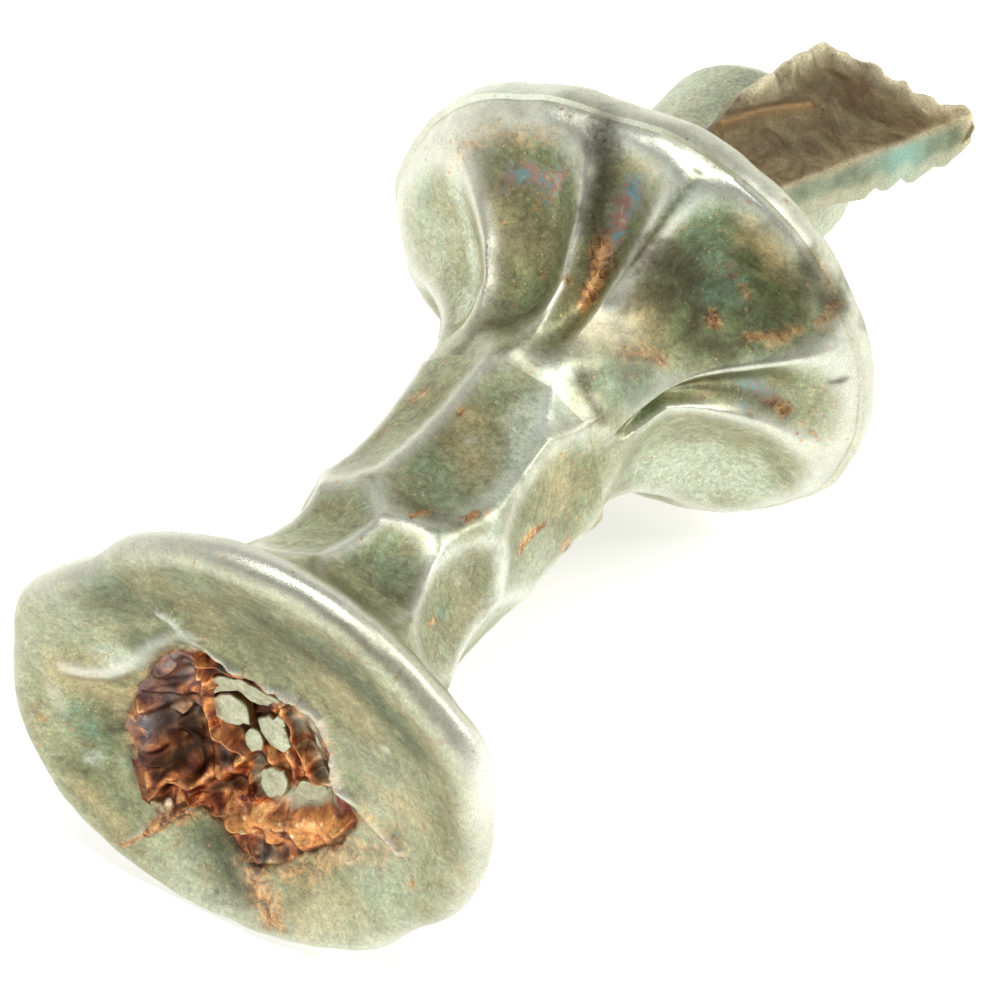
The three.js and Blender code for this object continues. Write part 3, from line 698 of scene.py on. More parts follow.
# Marks on the face: a line of places (x, z) in mm, a width in mm and a strength.
FACE_PAINT = {
    # Painted shade and a painted reflection of dark: a band inside the upper right of the rim, the
    # upper face, the crater's upper left, left of its lower lobe, and the left and lower left.
    "hollow": [
        ([(0.8, 6.5), (2.4, 6.1), (4.0, 5.9), (5.5, 4.9), (6.6, 3.9)], 0.95, 1.0),
        ([(-4.6, 5.0), (-2.6, 5.6), (-0.6, 5.2)], 1.9, 0.8),
        ([(-4.4, 2.2), (-3.2, 3.3)], 0.7, 0.9),
        ([(-0.8, -6.2), (-1.6, -5.6)], 1.0, 1.0),
        ([(-5.6, -1.4), (-5.9, -2.6)], 1.0, 0.6),
        ([(-6.2, -4.4), (-5.2, -5.8)], 1.1, 0.6),
        ([(3.6, 4.4), (5.2, 2.0)], 1.6, 0.35),
    ],
    # The first dark mark is a painted shadow left of the crater's lower lobe.
    "dark": [
        ([(-1.2, -5.4), (-0.8, -6.2), (-0.3, -6.8)], 0.55, 0.7),
        ([(-5.5, -2.4), (-4.9, -2.1)], 0.3, 0.8),
        ([(-4.8, -3.0), (-4.6, -4.4)], 0.25, 0.7),
    ],
    "green": [
        ([(-4.4, 5.8), (-2.0, 6.8)], 1.3, 0.5),
        ([(-6.7, -1.9), (-6.0, -2.7)], 0.5, 0.9),
        ([(-4.8, -3.7)], 0.3, 0.9),
        ([(3.0, 7.0), (6.6, 4.6)], 0.6, 0.4),
        ([(-5.3, -5.6)], 0.6, 0.5),
        ([(5.6, -3.4), (4.6, -5.2)], 0.8, 0.35),
    ],
    "copper": [
        ([(-5.3, -7.7), (-4.6, -6.9), (-3.8, -6.1)], 0.14, 1.0),
        ([(-3.9, -6.2), (-2.8, -4.9), (-1.9, -3.9)], 0.26, 1.0),
        ([(-2.8, -5.2), (-2.4, -4.8)], 0.4, 0.9),
        ([(-9.0, -1.4), (-8.4, -2.0), (-7.7, -2.5)], 0.14, 0.7),
        ([(4.1, -2.7), (5.3, -2.5), (5.9, -1.2)], 0.8, 0.5),
        ([(0.2, -5.6), (0.7, -6.4), (1.3, -7.3)], 0.75, 0.8),
        ([(1.5, -5.6), (2.6, -4.7), (4.0, -3.0)], 0.7, 0.6),
        ([(2.1, -5.3), (2.4, -5.8)], 0.4, 0.45),
    ],
    # Pale marks are painted highlights and reflections: fold crests, small bright spots, and the
    # lower, right and left parts of the face.
    "pale": [
        ([(-5.5, 1.4), (-4.4, 1.6)], 0.6, 0.6),
        ([(-3.1, 4.5), (-2.6, 3.9), (-2.1, 3.3)], 0.2, 0.9),
        ([(-6.2, -3.9)], 0.3, 0.8),
        ([(5.4, 2.6)], 0.22, 0.9),
        ([(3.9, -3.5)], 0.18, 0.9),
        ([(-2.0, -8.0), (2.0, -8.6), (5.5, -7.0)], 1.8, 0.5),
        ([(5.0, 1.0), (5.5, -4.0)], 1.8, 0.3),
        ([(-7.8, 1.5), (-6.8, 3.6)], 1.4, 0.3),
    ],
    "tan": [
        ([(-7.0, 0.1), (-5.4, -0.6)], 0.8, 0.5),
        ([(4.7, -1.1), (5.3, -1.3)], 0.35, 0.9),
        ([(5.6, 0.3), (6.4, 0.6)], 0.7, 0.45),
        ([(3.4, 4.6), (4.6, 3.4)], 0.9, 0.4),
        ([(-3.4, 6.4), (-1.4, 5.4)], 1.0, 0.35),
        ([(4.0, -5.4), (2.6, -7.0)], 1.0, 0.3),
        ([(-6.6, -5.2), (-4.8, -6.4)], 0.5, 0.5),
    ],
}


def small_head():
    knots = [(share * SMALL_RIM_RADIUS, y) for share, y in FACE_PROFILE]
    joint = (shank_radius(HEAD_JOINT_Y), HEAD_JOINT_Y)
    outer = smooth_curve([*knots, *BACK_OF_SMALL_HEAD, joint], ROW_STEP)
    bore = [(3.2, HEAD_JOINT_Y), (BORE_RADIUS, HEAD_JOINT_Y), outer[0]]
    profile = np.vstack([outer, evenly(bore, 0.6)[:-1]])
    angle, radius, y, is_outer = turned_grid(profile, len(outer), HEAD_COLUMNS)
    rim_reach = rim_share(angle, SMALL_RIM_RADIUS, SMALL_RIM)
    oval = 1 + (rim_reach - 1) * (1 - smoothstep(y, 1.8, 5.6))
    depth, edges = shank_scoops(y, angle)
    neck = smoothstep(y, 3, 5.5) * is_outer
    radius = np.where(is_outer, radius * oval - depth * neck, radius)
    before_rim = (np.arange(len(profile)) < np.argmax(profile[:, 0]))[:, None]
    on_face = before_rim * (1 - smoothstep(radius, 8.2, 8.9))
    points = around(radius, y, angle)
    flat = points * np.array([1, 0, 1])
    sunk = crater_depth(points[..., 0], points[..., 2]) * on_face
    folds = torn_folds(flat) * on_face
    uneven = 0.06 * waves(points, 2.6, 31) + 0.02 * waves(points, 0.8, 32)
    rough = 0.05 * waves(points, 0.7, 33) * smoothstep(sunk, 0.5, 1.2)
    points[..., 1] += sunk - folds + (uneven * is_outer + rough) * (1 - smoothstep(y, 4.5, 6.0))
    points = flatten_rest(points)

    spots = {name: on_face * painted(flat, flat_marks(marks)) for name, marks in FACE_PAINT.items()}
    outside = np.maximum(0, -inside_crater(flat))
    fringe = on_face * np.exp(-(outside / COPPER_FRINGE) ** 2)
    # Worn below: the rim crest and the fold crests, rubbed bright and with painted highlights, and
    # the neck's rubbed ridges.
    rim = rim_wear_and_highlight(profile, 0.9) * (0.75 + 0.25 * waves(points, 3.0, 41))
    wall = smoothstep(sunk, 0.1, 0.6)
    worn = [0.65 * smoothstep(folds, 0.06, 0.28), 0.85 * rim, 0.8 * edges * neck]
    # Hollow adds the face's painted shade to the patina in the neck's hammer marks; dark repeats
    # that painted shade and adds painted shade down the crater's walls.
    masks = {
        **spots,
        "worn": np.maximum.reduce(worn),
        "hollow": np.maximum(spots["hollow"], 0.25 * smoothstep(depth, 0.05, 0.5) * neck),
        "dark": np.maximum.reduce([spots["dark"], 0.35 * spots["hollow"], 0.55 * wall]),
        "copper": np.maximum(spots["copper"], 0.55 * fringe),
    }
    faces = ring_faces(len(profile), HEAD_COLUMNS)
    make_piece("small_head_skin", points, faces, HAMMERED, "small_head", masks)


# ---------------------------------------------------------------- shank


# Marks on the shank: a line of places (place along the pin, angle, radius), width, strength.
SHANK_PAINT = {
    "dark": [
        ([(10.3, 13, 3.9), (10.4, 27, 4.1), (10.6, 36, 4.2)], 0.32, 0.85),
        ([(6.7, 10, 4.2), (6.7, 37, 4.2)], 0.45, 0.6),
        ([(9.9, 61, 3.7), (8.8, 67, 3.6)], 1.1, 0.45),
        ([(15.5, 88, 3.6)], 1.2, 0.3),
        ([(7.8, 17, 3.8)], 1.2, 0.22),
    ],
    "green": [
        ([(12.4, 3, 3.6), (11.4, 23, 3.8)], 1.0, 0.55),
        ([(16.4, 9, 3.7)], 0.8, 0.4),
        ([(7.7, 11, 3.9), (7.5, 23, 3.8)], 0.9, 0.5),
        ([(9.8, 352, 4.0)], 0.5, 0.6),
        ([(16.1, 34, 4.0), (15.6, 34, 4.0)], 0.32, 0.95),
        ([(17.2, 57, 4.0), (17.1, 52, 4.1)], 0.4, 0.8),
        ([(8.7, 64, 3.6), (8.0, 61, 3.8)], 0.22, 0.9),
    ],
    "copper": [
        ([(9.7, 16, 4.1), (10.0, 18, 4.0), (10.3, 19, 4.0)], 0.18, 0.95),
        ([(11.0, 37, 4.2), (11.5, 38, 4.2)], 0.2, 0.9),
        ([(12.8, 74, 3.8), (13.6, 74, 3.7), (14.5, 79, 3.6)], 0.2, 1.0),
        ([(15.6, 317, 3.7), (15.9, 321, 3.7)], 0.45, 0.55),
        ([(14.0, 315, 3.6)], 0.3, 0.45),
        ([(15.6, 108, 4.0)], 0.4, 0.65),
        ([(7.2, 58, 4.0), (7.6, 58, 3.9)], 0.22, 0.7),
        ([(15.0, 357, 3.7), (15.2, 356, 3.7)], 0.12, 0.9),
        ([(16.3, 53, 4.0)], 0.12, 0.9),
        ([(9.1, 330, 3.9), (9.1, 342, 3.8)], 0.4, 0.35),
    ],
    # Pale marks are painted highlights on the facets that catch the light.
    "pale": [
        ([(17.5, 36, 4.1), (17.2, 29, 4.1), (15.6, 34, 4.0), (14.6, 38, 4.0)], 0.7, 1.0),
        ([(14.0, 39, 4.0), (12.6, 42, 4.3)], 0.4, 1.0),
        ([(11.3, 52, 4.1), (12.0, 46, 4.2)], 0.3, 0.9),
        ([(8.9, 38, 4.2), (9.8, 38, 4.2)], 0.45, 0.85),
        ([(11.6, 67, 4.0), (10.7, 82, 4.1), (10.7, 99, 3.7)], 0.4, 0.7),
        ([(8.0, 95, 3.8), (14.0, 100, 3.8)], 1.2, 0.5),
    ],
    "tan": [
        ([(15.6, 61, 3.7), (15.7, 76, 3.6)], 0.9, 0.4),
        ([(15.0, 0, 3.7), (13.5, 20, 3.6)], 1.0, 0.3),
        ([(9.0, 70, 3.6)], 0.7, 0.3),
    ],
}


def shank():
    start, end = HEAD_JOINT_Y, WAIST_JOINT_Y
    y_rows = np.linspace(start, end, int((end - start) / ROW_STEP))
    outer = np.stack([shank_radius(y_rows), y_rows], -1)
    bore = [outer[-1], (BORE_RADIUS, end), (BORE_RADIUS, start), outer[0]]
    profile = np.vstack([outer, evenly(bore, 0.8)[1:-1]])
    angle, radius, y, is_outer = turned_grid(profile, len(outer), SHANK_COLUMNS)
    depth, edges = shank_scoops(y, angle)
    points = around(radius, y, angle)
    uneven = 0.035 * waves(points, 1.8, 51) + 0.012 * waves(points, 0.5, 52)
    uneven = uneven * smoothstep(y, start, start + 1) * (1 - smoothstep(y, end - 1, end))
    points = around(np.where(is_outer, radius - depth + uneven, radius), y, angle)
    masks = {name: painted(points, pin_marks(marks)) for name, marks in SHANK_PAINT.items()}
    masks["worn"] = 0.8 * edges * is_outer
    masks["hollow"] = 0.25 * smoothstep(depth, 0.08, 0.5) * is_outer
    masks["dark"] *= 0.7
    faces = ring_faces(len(profile), SHANK_COLUMNS)
    make_piece("shank_skin", points, faces, HAMMERED, "faceted_shank", masks)


# ---------------------------------------------------------------- large head

# Section of the large head as (radius, y), from the waist over the rim to the back face.
TRUMPET = [
    (SHANK_RADIUS, WAIST_JOINT_Y), (4.32, 18.5), (4.38, 19.2), (4.48, 19.9), (4.66, 20.5),
    (4.9, 21.1), (5.25, 21.7), (5.7, 22.25), (6.2, 22.75), (6.75, 23.2), (7.3, 23.6),
    (7.85, 23.98), (8.35, 24.4), (8.8, 24.85), (9.12, 25.3), (9.34, 25.8), (9.4, 26.4),
    (9.22, 26.95), (8.8, 27.35), (7.6, 27.65), (6.2, BACK_FACE_Y),
]


# Marks on the large head, as on the shank.
FLARE_PAINT = {
    # Painted shade: the tongue above the fourth flute and the fourth flute's edge at the rim.
    "hollow": [
        ([(20.6, 33, 4.6), (21.2, 40, 4.7), (20.9, 52, 4.6), (19.8, 42, 4.2)], 1.2, 0.85),
        ([(25.8, 53, 9.2), (25.6, 57, 8.9), (25.9, 60, 9.4)], 0.9, 0.9),
    ],
    # Dark marks are mostly painted shade and shadow: the line along the second flute's foot, the
    # steep wall of the third flute, the deep fourth flute and the waist below the tongue.
    "dark": [
        ([(22.2, 325, 5.1), (22.9, 329, 5.2), (23.4, 333, 5.3)], 0.7, 0.45),
        ([(25.6, 57, 8.9), (25.9, 55, 9.4)], 0.5, 0.6),
        ([(24.6, 86, 7.4)], 0.7, 0.25),
        ([(20.9, 50, 4.6), (21.6, 40, 4.8)], 0.7, 0.35),
        ([(25.5, 354, 8.6), (25.1, 357, 8.1)], 0.8, 0.95),
        ([(25.1, 357, 8.1), (24.6, 359, 7.4), (24.0, 0, 6.5), (23.5, 1, 6.0)], 0.55, 0.95),
        ([(18.1, 324, 3.8), (19.4, 332, 3.9), (20.9, 351, 3.9)], 0.3, 0.6),
        ([(23.2, 24, 6.3), (23.8, 30, 6.1), (24.4, 39, 5.7)], 0.9, 0.95),
        ([(23.6, 36, 5.4), (23.0, 32, 5.4)], 0.9, 0.9),
        ([(23.5, 61, 5.4), (23.8, 65, 6.1)], 0.5, 0.8),
        ([(24.0, 50, 5.2), (23.4, 55, 5.1)], 0.5, 0.85),
        ([(25.8, 51, 9.3), (25.9, 59, 9.5), (26.0, 64, 9.6)], 0.5, 0.75),
        ([(24.9, 62, 7.4), (24.4, 62, 6.6)], 0.6, 0.55),
        ([(19.1, 34, 4.1), (18.8, 42, 4.0), (18.6, 53, 4.1)], 0.28, 0.75),
        ([(25.1, 80, 9.0), (25.4, 80, 9.4)], 0.13, 0.9),
    ],
    "green": [
        ([(24.6, 23, 8.3), (25.4, 28, 8.2), (24.9, 28, 7.5)], 0.9, 0.7),
        ([(25.1, 33, 6.7), (25.5, 43, 6.3), (25.3, 52, 6.2), (24.8, 47, 5.7)], 0.75, 0.85),
        ([(24.9, 346, 8.1)], 0.5, 0.7),
        ([(24.6, 294, 8.3)], 0.8, 0.5),
        ([(19.9, 46, 4.2), (20.1, 57, 4.4), (20.9, 66, 4.6)], 0.8, 0.65),
        ([(24.8, 75, 8.9), (24.0, 72, 6.5)], 1.0, 0.5),
    ],
    "copper": [
        ([(24.3, 64, 6.6), (24.9, 66, 8.0), (25.5, 65, 8.8), (25.9, 63, 9.5)], 0.2, 0.8),
        ([(24.6, 315, 8.4), (24.8, 324, 8.4), (25.0, 333, 8.2), (25.0, 342, 8.3)], 0.8, 0.42),
        ([(23.4, 6, 5.5), (22.8, 8, 4.8), (21.9, 13, 4.3)], 0.5, 1.0),
        ([(25.4, 55, 6.5)], 0.3, 0.85),
        ([(24.3, 55, 5.5), (24.2, 57, 5.6)], 0.3, 0.9),
        ([(20.8, 40, 4.5), (21.3, 45, 4.7), (21.9, 55, 4.8)], 0.35, 0.6),
        ([(24.3, 87, 7.1), (24.4, 90, 7.5)], 0.3, 0.9),
        ([(24.6, 93, 8.1), (24.8, 97, 8.8)], 0.2, 0.5),
        ([(22.3, 344, 4.2)], 0.2, 0.7),
        ([(23.2, 325, 5.8)], 0.15, 0.7),
        ([(24.0, 335, 5.9)], 0.15, 0.7),
    ],
    "stain": [
        ([(24.3, 328, 7.0), (24.5, 334, 7.0), (24.3, 342, 6.5), (24.4, 345, 6.9)], 0.5, 0.85),
        ([(24.8, 7, 7.4), (24.2, 7, 6.4), (23.6, 10, 5.8)], 0.5, 1.0),
        ([(24.5, 11, 7.1)], 0.5, 0.7),
        ([(24.0, 81, 6.3), (24.3, 84, 6.9)], 0.45, 0.7),
        ([(25.3, 56, 6.3)], 0.35, 0.6),
    ],
    "tan": [
        ([(25.5, 43, 8.5), (25.6, 46, 8.4)], 0.75, 1.0),
        ([(24.5, 67, 7.3), (24.9, 67, 8.0), (25.4, 66, 8.6), (25.8, 65, 9.5)], 0.2, 1.0),
        ([(20.9, 26, 4.5), (21.4, 34, 4.7), (22.2, 35, 4.9)], 0.9, 0.55),
        ([(22.9, 329, 5.2), (23.4, 325, 6.0)], 1.6, 0.28),
        ([(26.1, 53, 9.7), (26.0, 58, 9.6)], 0.22, 0.8),
        ([(24.9, 6, 8.0), (25.2, 10, 8.3)], 0.6, 0.4),
    ],
    # Pale marks are painted highlights and reflections: along the rim, in the third flute, over the
    # first and sixth flutes and on the white facet by the waist.
    "pale": [
        ([(26.2, 312, 9.5), (26.2, 326, 9.4), (26.2, 340, 9.1)], 0.5, 0.8),
        ([(25.6, 2, 8.8), (25.3, 8, 8.8), (25.1, 15, 8.8)], 0.65, 1.0),
        ([(24.2, 283, 7.1)], 1.8, 0.45),
        ([(24.3, 310, 8.0), (23.5, 295, 5.4), (21.9, 289, 4.3)], 0.4, 0.75),
        ([(23.9, 131, 6.0), (24.7, 128, 7.3), (22.5, 132, 4.9)], 2.0, 0.75),
        ([(25.6, 22, 9.2), (25.8, 29, 9.2), (25.9, 36, 9.5)], 0.5, 0.8),
        ([(25.5, 336, 8.9), (25.5, 343, 8.8)], 0.35, 0.8),
        ([(18.6, 24, 4.1), (18.0, 28, 4.0)], 0.6, 1.0),
        ([(20.9, 26, 4.5), (21.3, 33, 4.7)], 0.4, 0.35),
    ],
}


def large_head():
    outer = smooth_curve(TRUMPET, ROW_STEP)
    bore = [outer[-1], (BORE_RADIUS, BACK_FACE_Y), (BORE_RADIUS, WAIST_JOINT_Y), outer[0]]
    inner = evenly(bore, 0.8)[1:-1]
    profile = np.vstack([outer, inner])
    angle, radius, y, is_outer = turned_grid(profile, len(outer), HEAD_COLUMNS)
    before_lip = is_outer * (y < 26)
    flutes, flute_edges, patina = flute_scoops(y, angle)
    marks, mark_edges = shank_scoops(y, angle)
    near_waist = 1 - smoothstep(y, 18, 20)
    cut = (flutes + marks * near_waist) * before_lip
    tangent = np.gradient(outer, axis=0)
    tangent /= np.linalg.norm(tangent, axis=1)[:, None]
    tangent = np.vstack([tangent, np.tile([0.0, 1.0], (len(inner), 1))])
    along_radius = tangent[:, :1] * smoothstep(y, WAIST_JOINT_Y, WAIST_JOINT_Y + 0.5)
    rim_reach = rim_share(angle, LARGE_RIM_RADIUS, LARGE_RIM)
    oval = 1 + (rim_reach - 1) * smoothstep(y, 22, 25) * is_outer
    smooth = around(radius * oval, y, angle)
    uneven = (0.05 * waves(smooth, 2.2, 61) + 0.015 * waves(smooth, 0.6, 62)) * is_outer
    cut = cut - uneven * smoothstep(y, WAIST_JOINT_Y, WAIST_JOINT_Y + 0.6)
    points = around(radius * oval - cut * tangent[:, 1:], y + cut * along_radius, angle)
    points = flatten_rest(points)

    edges = np.maximum(flute_edges, mark_edges * near_waist) * before_lip
    masks = {name: painted(points, pin_marks(marks)) for name, marks in FLARE_PAINT.items()}
    # The hollow marks are painted shade, added to the flutes' patina; worn is the rubbed ridges and
    # the rim's painted highlight, kept off that shade.
    shade = masks["hollow"]
    masks["worn"] = np.maximum(edges * 0.8, rim_wear_and_highlight(profile, 1.1) * 0.65) * (1 - 0.85 * shade)
    masks["hollow"] = np.maximum(patina * before_lip, shade)
    faces = ring_faces(len(profile), HEAD_COLUMNS)
    make_piece("large_head_skin", points, faces, HAMMERED, "large_head", masks)


# ---------------------------------------------------------------- collar and torn tail

TAIL_ANGLE = np.radians(26.6)     # how far the tail is turned round the pin
TAIL_SIDE = np.array([np.cos(TAIL_ANGLE), 0, -np.sin(TAIL_ANGLE)])
TAIL_UP = np.array([np.sin(TAIL_ANGLE), 0, np.cos(TAIL_ANGLE)])
TAIL_THICKNESS = 1.1
KEEL_START = np.array([1.2, 31.0])
KEEL_END = np.array([5.0, 41.4])
# The tail's two edges as (side, y), both from the root to the tip.
TAIL_TOP_EDGE = [
    (-1.8, 30.8), (-1.7, 32.1), (-1.8, 33.9), (-1.45, 35.4), (-1.1, 37.6), (-0.75, 38.9),
    (0.5, 39.5), (1.9, 40.0), (3.25, 40.6), (4.3, 41.15), (5.2, 41.4), (5.5, 41.1),
]
TAIL_LOW_EDGE = [
    (2.2, 30.8), (2.6, 32.6), (3.25, 34.4), (3.85, 35.6), (3.95, 36.5), (4.35, 36.9),
    (4.45, 37.9), (4.9, 38.3), (5.1, 39.4), (5.4, 39.9), (5.55, 40.95),
]
# A step in the hollow, and the middle of a teal patch on the flange, as (side, y).
TAIL_LEDGE = [(-1.7, 32.0), (-0.75, 34.3), (0.3, 36.2)]
TAIL_TEAL = (4.1, 37.9)
TAIL_ROWS, TAIL_COLUMNS, TAIL_EDGE_COLUMNS = 170, 70, 7


def keel_distance(side, y):
    """Signed distance from the keel, positive beyond it."""
    run = KEEL_END - KEEL_START
    return ((side - KEEL_START[0]) * run[1] - (y - KEEL_START[1]) * run[0]) / np.linalg.norm(run)


def tail_height(side, y):
    """Height of the tail's upper face: a hollow, folded down beyond the keel."""
    across = keel_distance(side, y)
    lift = 4 - 0.12 * (y - 32)
    hollow = 0.35 * np.sin(np.pi * np.clip(-across / 3, 0, 1))
    fold = 0.1 * np.log1p(np.exp(np.clip(across / 0.1, -50, 50)))
    return lift - 1.15 * fold - hollow


def tail_point(side, y, height):
    side, y, height = (axis[..., None] for axis in np.broadcast_arrays(side, y, height))
    return side * TAIL_SIDE + height * TAIL_UP + y * np.array([0, 1, 0])


def edge_rows(edge, share):
    """Points of one edge of the tail, at equal shares of its length."""
    fine = evenly(edge, 0.02)
    return fine[np.round(share * (len(fine) - 1)).astype(int)][:, None, :]


def round_loop(top, bottom, left, right):
    """A grid over the top, round the right edge, back below and round the left edge."""
    shape = (len(top), TAIL_EDGE_COLUMNS, *top.shape[2:])
    sides = [np.broadcast_to(side, shape) for side in (right, left)]
    return np.concatenate([top, sides[0], bottom[:, ::-1], sides[1]], axis=1)


def torn_tail():
    share = np.linspace(0, 1, TAIL_ROWS)
    left, right = edge_rows(TAIL_TOP_EDGE, share), edge_rows(TAIL_LOW_EDGE, share)
    flat = left + (right - left) * np.linspace(0, 1, TAIL_COLUMNS)[None, :, None]
    side, y = flat[..., 0], flat[..., 1]
    plain = tail_point(side, y, 0.0)
    jag = 0.12 * waves(plain, 0.7, 71) + 0.06 * waves(plain, 0.3, 72)
    near_left = np.linalg.norm(flat - left, axis=-1)
    near_right = np.linalg.norm(flat - right, axis=-1)
    s = share[:, None]
    lip = np.exp(-(near_left / 0.5) ** 2) * smoothstep(s, 0.12, 0.28)
    lip = lip * (1 + 0.35 * waves(plain, 0.55, 73))
    ledge_gap = line_distance(plain, [tail_point(a, b, 0.0) for a, b in TAIL_LEDGE])
    ledge = np.exp(-(ledge_gap / 0.22) ** 2)
    height = tail_height(side, y) + 0.48 * lip + 0.22 * ledge + 0.5 * jag * (0.3 + lip)
    height = height + 0.04 * waves(plain, 1.4, 74)
    out = 0.10 * jag * np.exp(-(near_right / 0.5) ** 2)
    top = tail_point(side + out, y + jag * np.exp(-(near_left / 0.4) ** 2) * 0.6, height)
    thickness = (TAIL_THICKNESS - 0.35 * np.exp(-(near_right / 0.8) ** 2))[..., None]
    bottom = top - thickness * TAIL_UP
    turn = np.linspace(0, 1, TAIL_EDGE_COLUMNS + 2)[1:-1][None, :, None]
    bulge = 0.18 * np.sin(np.pi * turn) * TAIL_SIDE
    right_side = top[:, -1:] * (1 - turn) + bottom[:, -1:] * turn + bulge
    left_side = bottom[:, :1] * (1 - turn) + top[:, :1] * turn - bulge
    loop = round_loop(top, bottom, left_side, right_side)

    def spread(mask, on_left=0.0, on_right=0.0):
        """A mask of the upper face, fainter below, and what it is on the two edges."""
        return round_loop(mask, mask * 0.6, on_left, on_right)

    keel = keel_distance(side, y)
    flange = smoothstep(keel, -0.05, 0.25)
    keel_line = np.exp(-((keel - 0.05) / 0.14) ** 2)
    worn = np.clip(lip * 1.1 + 0.35 * keel_line + 0.5 * np.exp(-(near_right / 0.18) ** 2), 0, 1)
    teal_gap = np.linalg.norm(plain - tail_point(*TAIL_TEAL, 0.0), axis=-1)
    teal = np.exp(-(teal_gap / 1.2) ** 2) * flange
    # Worn: painted highlights and wear along the lip, keel and lower edge. Dark: painted shade deep
    # in the hollow. Pale: the flange, lightened as a painted reflection of the floor.
    masks = {
        "worn": spread(worn, worn[:, :1] * 0.9, worn[:, -1:]),
        "dark": spread(0.45 * smoothstep(-keel, 0.4, 1.6) * (1 - lip.clip(0, 1))),
        "green": spread(teal, on_right=teal[:, -1:]),
        "copper": spread(0.8 * ledge + 0.4 * lip * smoothstep(s, 0.8, 0.95), worn[:, :1] * 0.2),
        "pale": spread(flange, on_right=flange[:, -1:]),
    }
    faces = capped_faces(TAIL_ROWS, loop.shape[1])
    make_piece("torn_tail_strip", loop, faces, TORN, "torn_tail", masks)


def rear_collar():
    start = BACK_FACE_Y
    knots = [
        (BORE_RADIUS, start), (COLLAR_RADIUS, start), (COLLAR_RADIUS, COLLAR_END_Y - 0.5),
        (COLLAR_RADIUS - 0.12, COLLAR_END_Y - 0.2), (COLLAR_RADIUS - 0.45, COLLAR_END_Y),
        (0.02, COLLAR_END_Y),
    ]
    profile = evenly(knots, 0.12)
    angle, radius, y, _ = turned_grid(profile, len(profile), SHANK_COLUMNS)
    points = around(radius, y, angle)
    dents = 0.05 * waves(points, 2.5, 81) + 0.012 * waves(points, 0.5, 82)
    points = around(radius + dents * smoothstep(radius, 1.8, 3.4), y, angle)
    side, up, along = points @ TAIL_SIDE, points @ TAIL_UP, points[..., 1]
    left, right = (
        np.interp(along, [place for _, place in edge], [offset for offset, _ in edge])
        for edge in (TAIL_TOP_EDGE[:6], TAIL_LOW_EDGE)
    )
    under = smoothstep(side, left, left + 0.15) * (1 - smoothstep(side, right - 0.15, right))
    under = under * smoothstep(along, 30.7, 30.9)
    limit = tail_height(side, along) - TAIL_THICKNESS * 0.9
    points = points - (np.maximum(0, up - limit) * under)[..., None] * TAIL_UP
    # Pale: the whole collar lightened as a painted glare.
    masks = {
        "worn": 0.35 * np.exp(-((along - COLLAR_END_Y) / 0.5) ** 2) * (radius > 3),
        "dark": 0.5 * np.exp(-((along - start) / 0.5) ** 2),
        "pale": 0.45,
    }
    faces = capped_faces(*points.shape[:2])
    make_piece("rear_collar_skin", points, faces, HAMMERED, "rear_collar", masks)


# ---------------------------------------------------------------- burst copper and chips

BURR_CENTRE = (-0.6, -1.6)
BURR_THICKNESS = 1.5
BURR_REACH = 1.08        # how far the burr's outline goes, as a share of the crater's
BURR_ROWS = (150, 12)    # mesh rows on the front and on the back
CUP_CENTRE = (-0.35, 0.25)
CUP_REACH = (1.75, 1.4)
# Lumps on the copper: a line of places (x, z), a width and a height.
COPPER_LUMPS = [
    ([(-0.5, -4.3), (0.4, -4.2), (1.2, -3.7), (2.0, -3.3), (3.0, -2.5), (3.6, -1.9)], 0.60, 0.85),
    ([(0.0, -4.8), (0.3, -5.4), (0.9, -6.2)], 0.50, 0.45),
    ([(-4.0, -4.5), (-3.4, -4.1), (-2.5, -3.5), (-1.5, -2.8), (-0.8, -2.0)], 0.32, 0.62),
    ([(-2.3, -4.3)], 0.28, 0.50),
    ([(-1.3, -4.3), (-0.9, -4.0)], 0.30, 0.55),
    ([(-0.1, -3.4), (0.1, -3.1)], 0.26, 0.50),
    ([(-0.8, 2.6), (-1.4, 2.7), (-2.0, 2.5), (-2.4, 2.0), (-2.3, 1.2), (-2.2, 0.5), (-2.1, -0.2),
      (-1.9, -1.0), (-1.4, -1.5), (-0.7, -1.8)], 0.24, 0.50),
    ([(1.1, 1.8), (1.2, 0.9), (1.45, 0.0), (1.75, -0.4), (2.05, -0.9), (2.5, -1.2)], 0.24, 0.55),
    ([(-0.2, -2.5)], 0.30, 0.50),
    ([(0.6, -1.25)], 0.28, 0.45),
    ([(1.2, -0.9), (1.4, -1.5)], 0.24, 0.40),
    ([(1.85, -0.3), (2.1, -0.9)], 0.30, 0.60),
    ([(-3.6, 1.2), (-3.4, 0.0), (-3.7, -1.4)], 0.40, 0.22),
    ([(-4.3, -1.0), (-4.2, -2.6)], 0.35, 0.30),
]
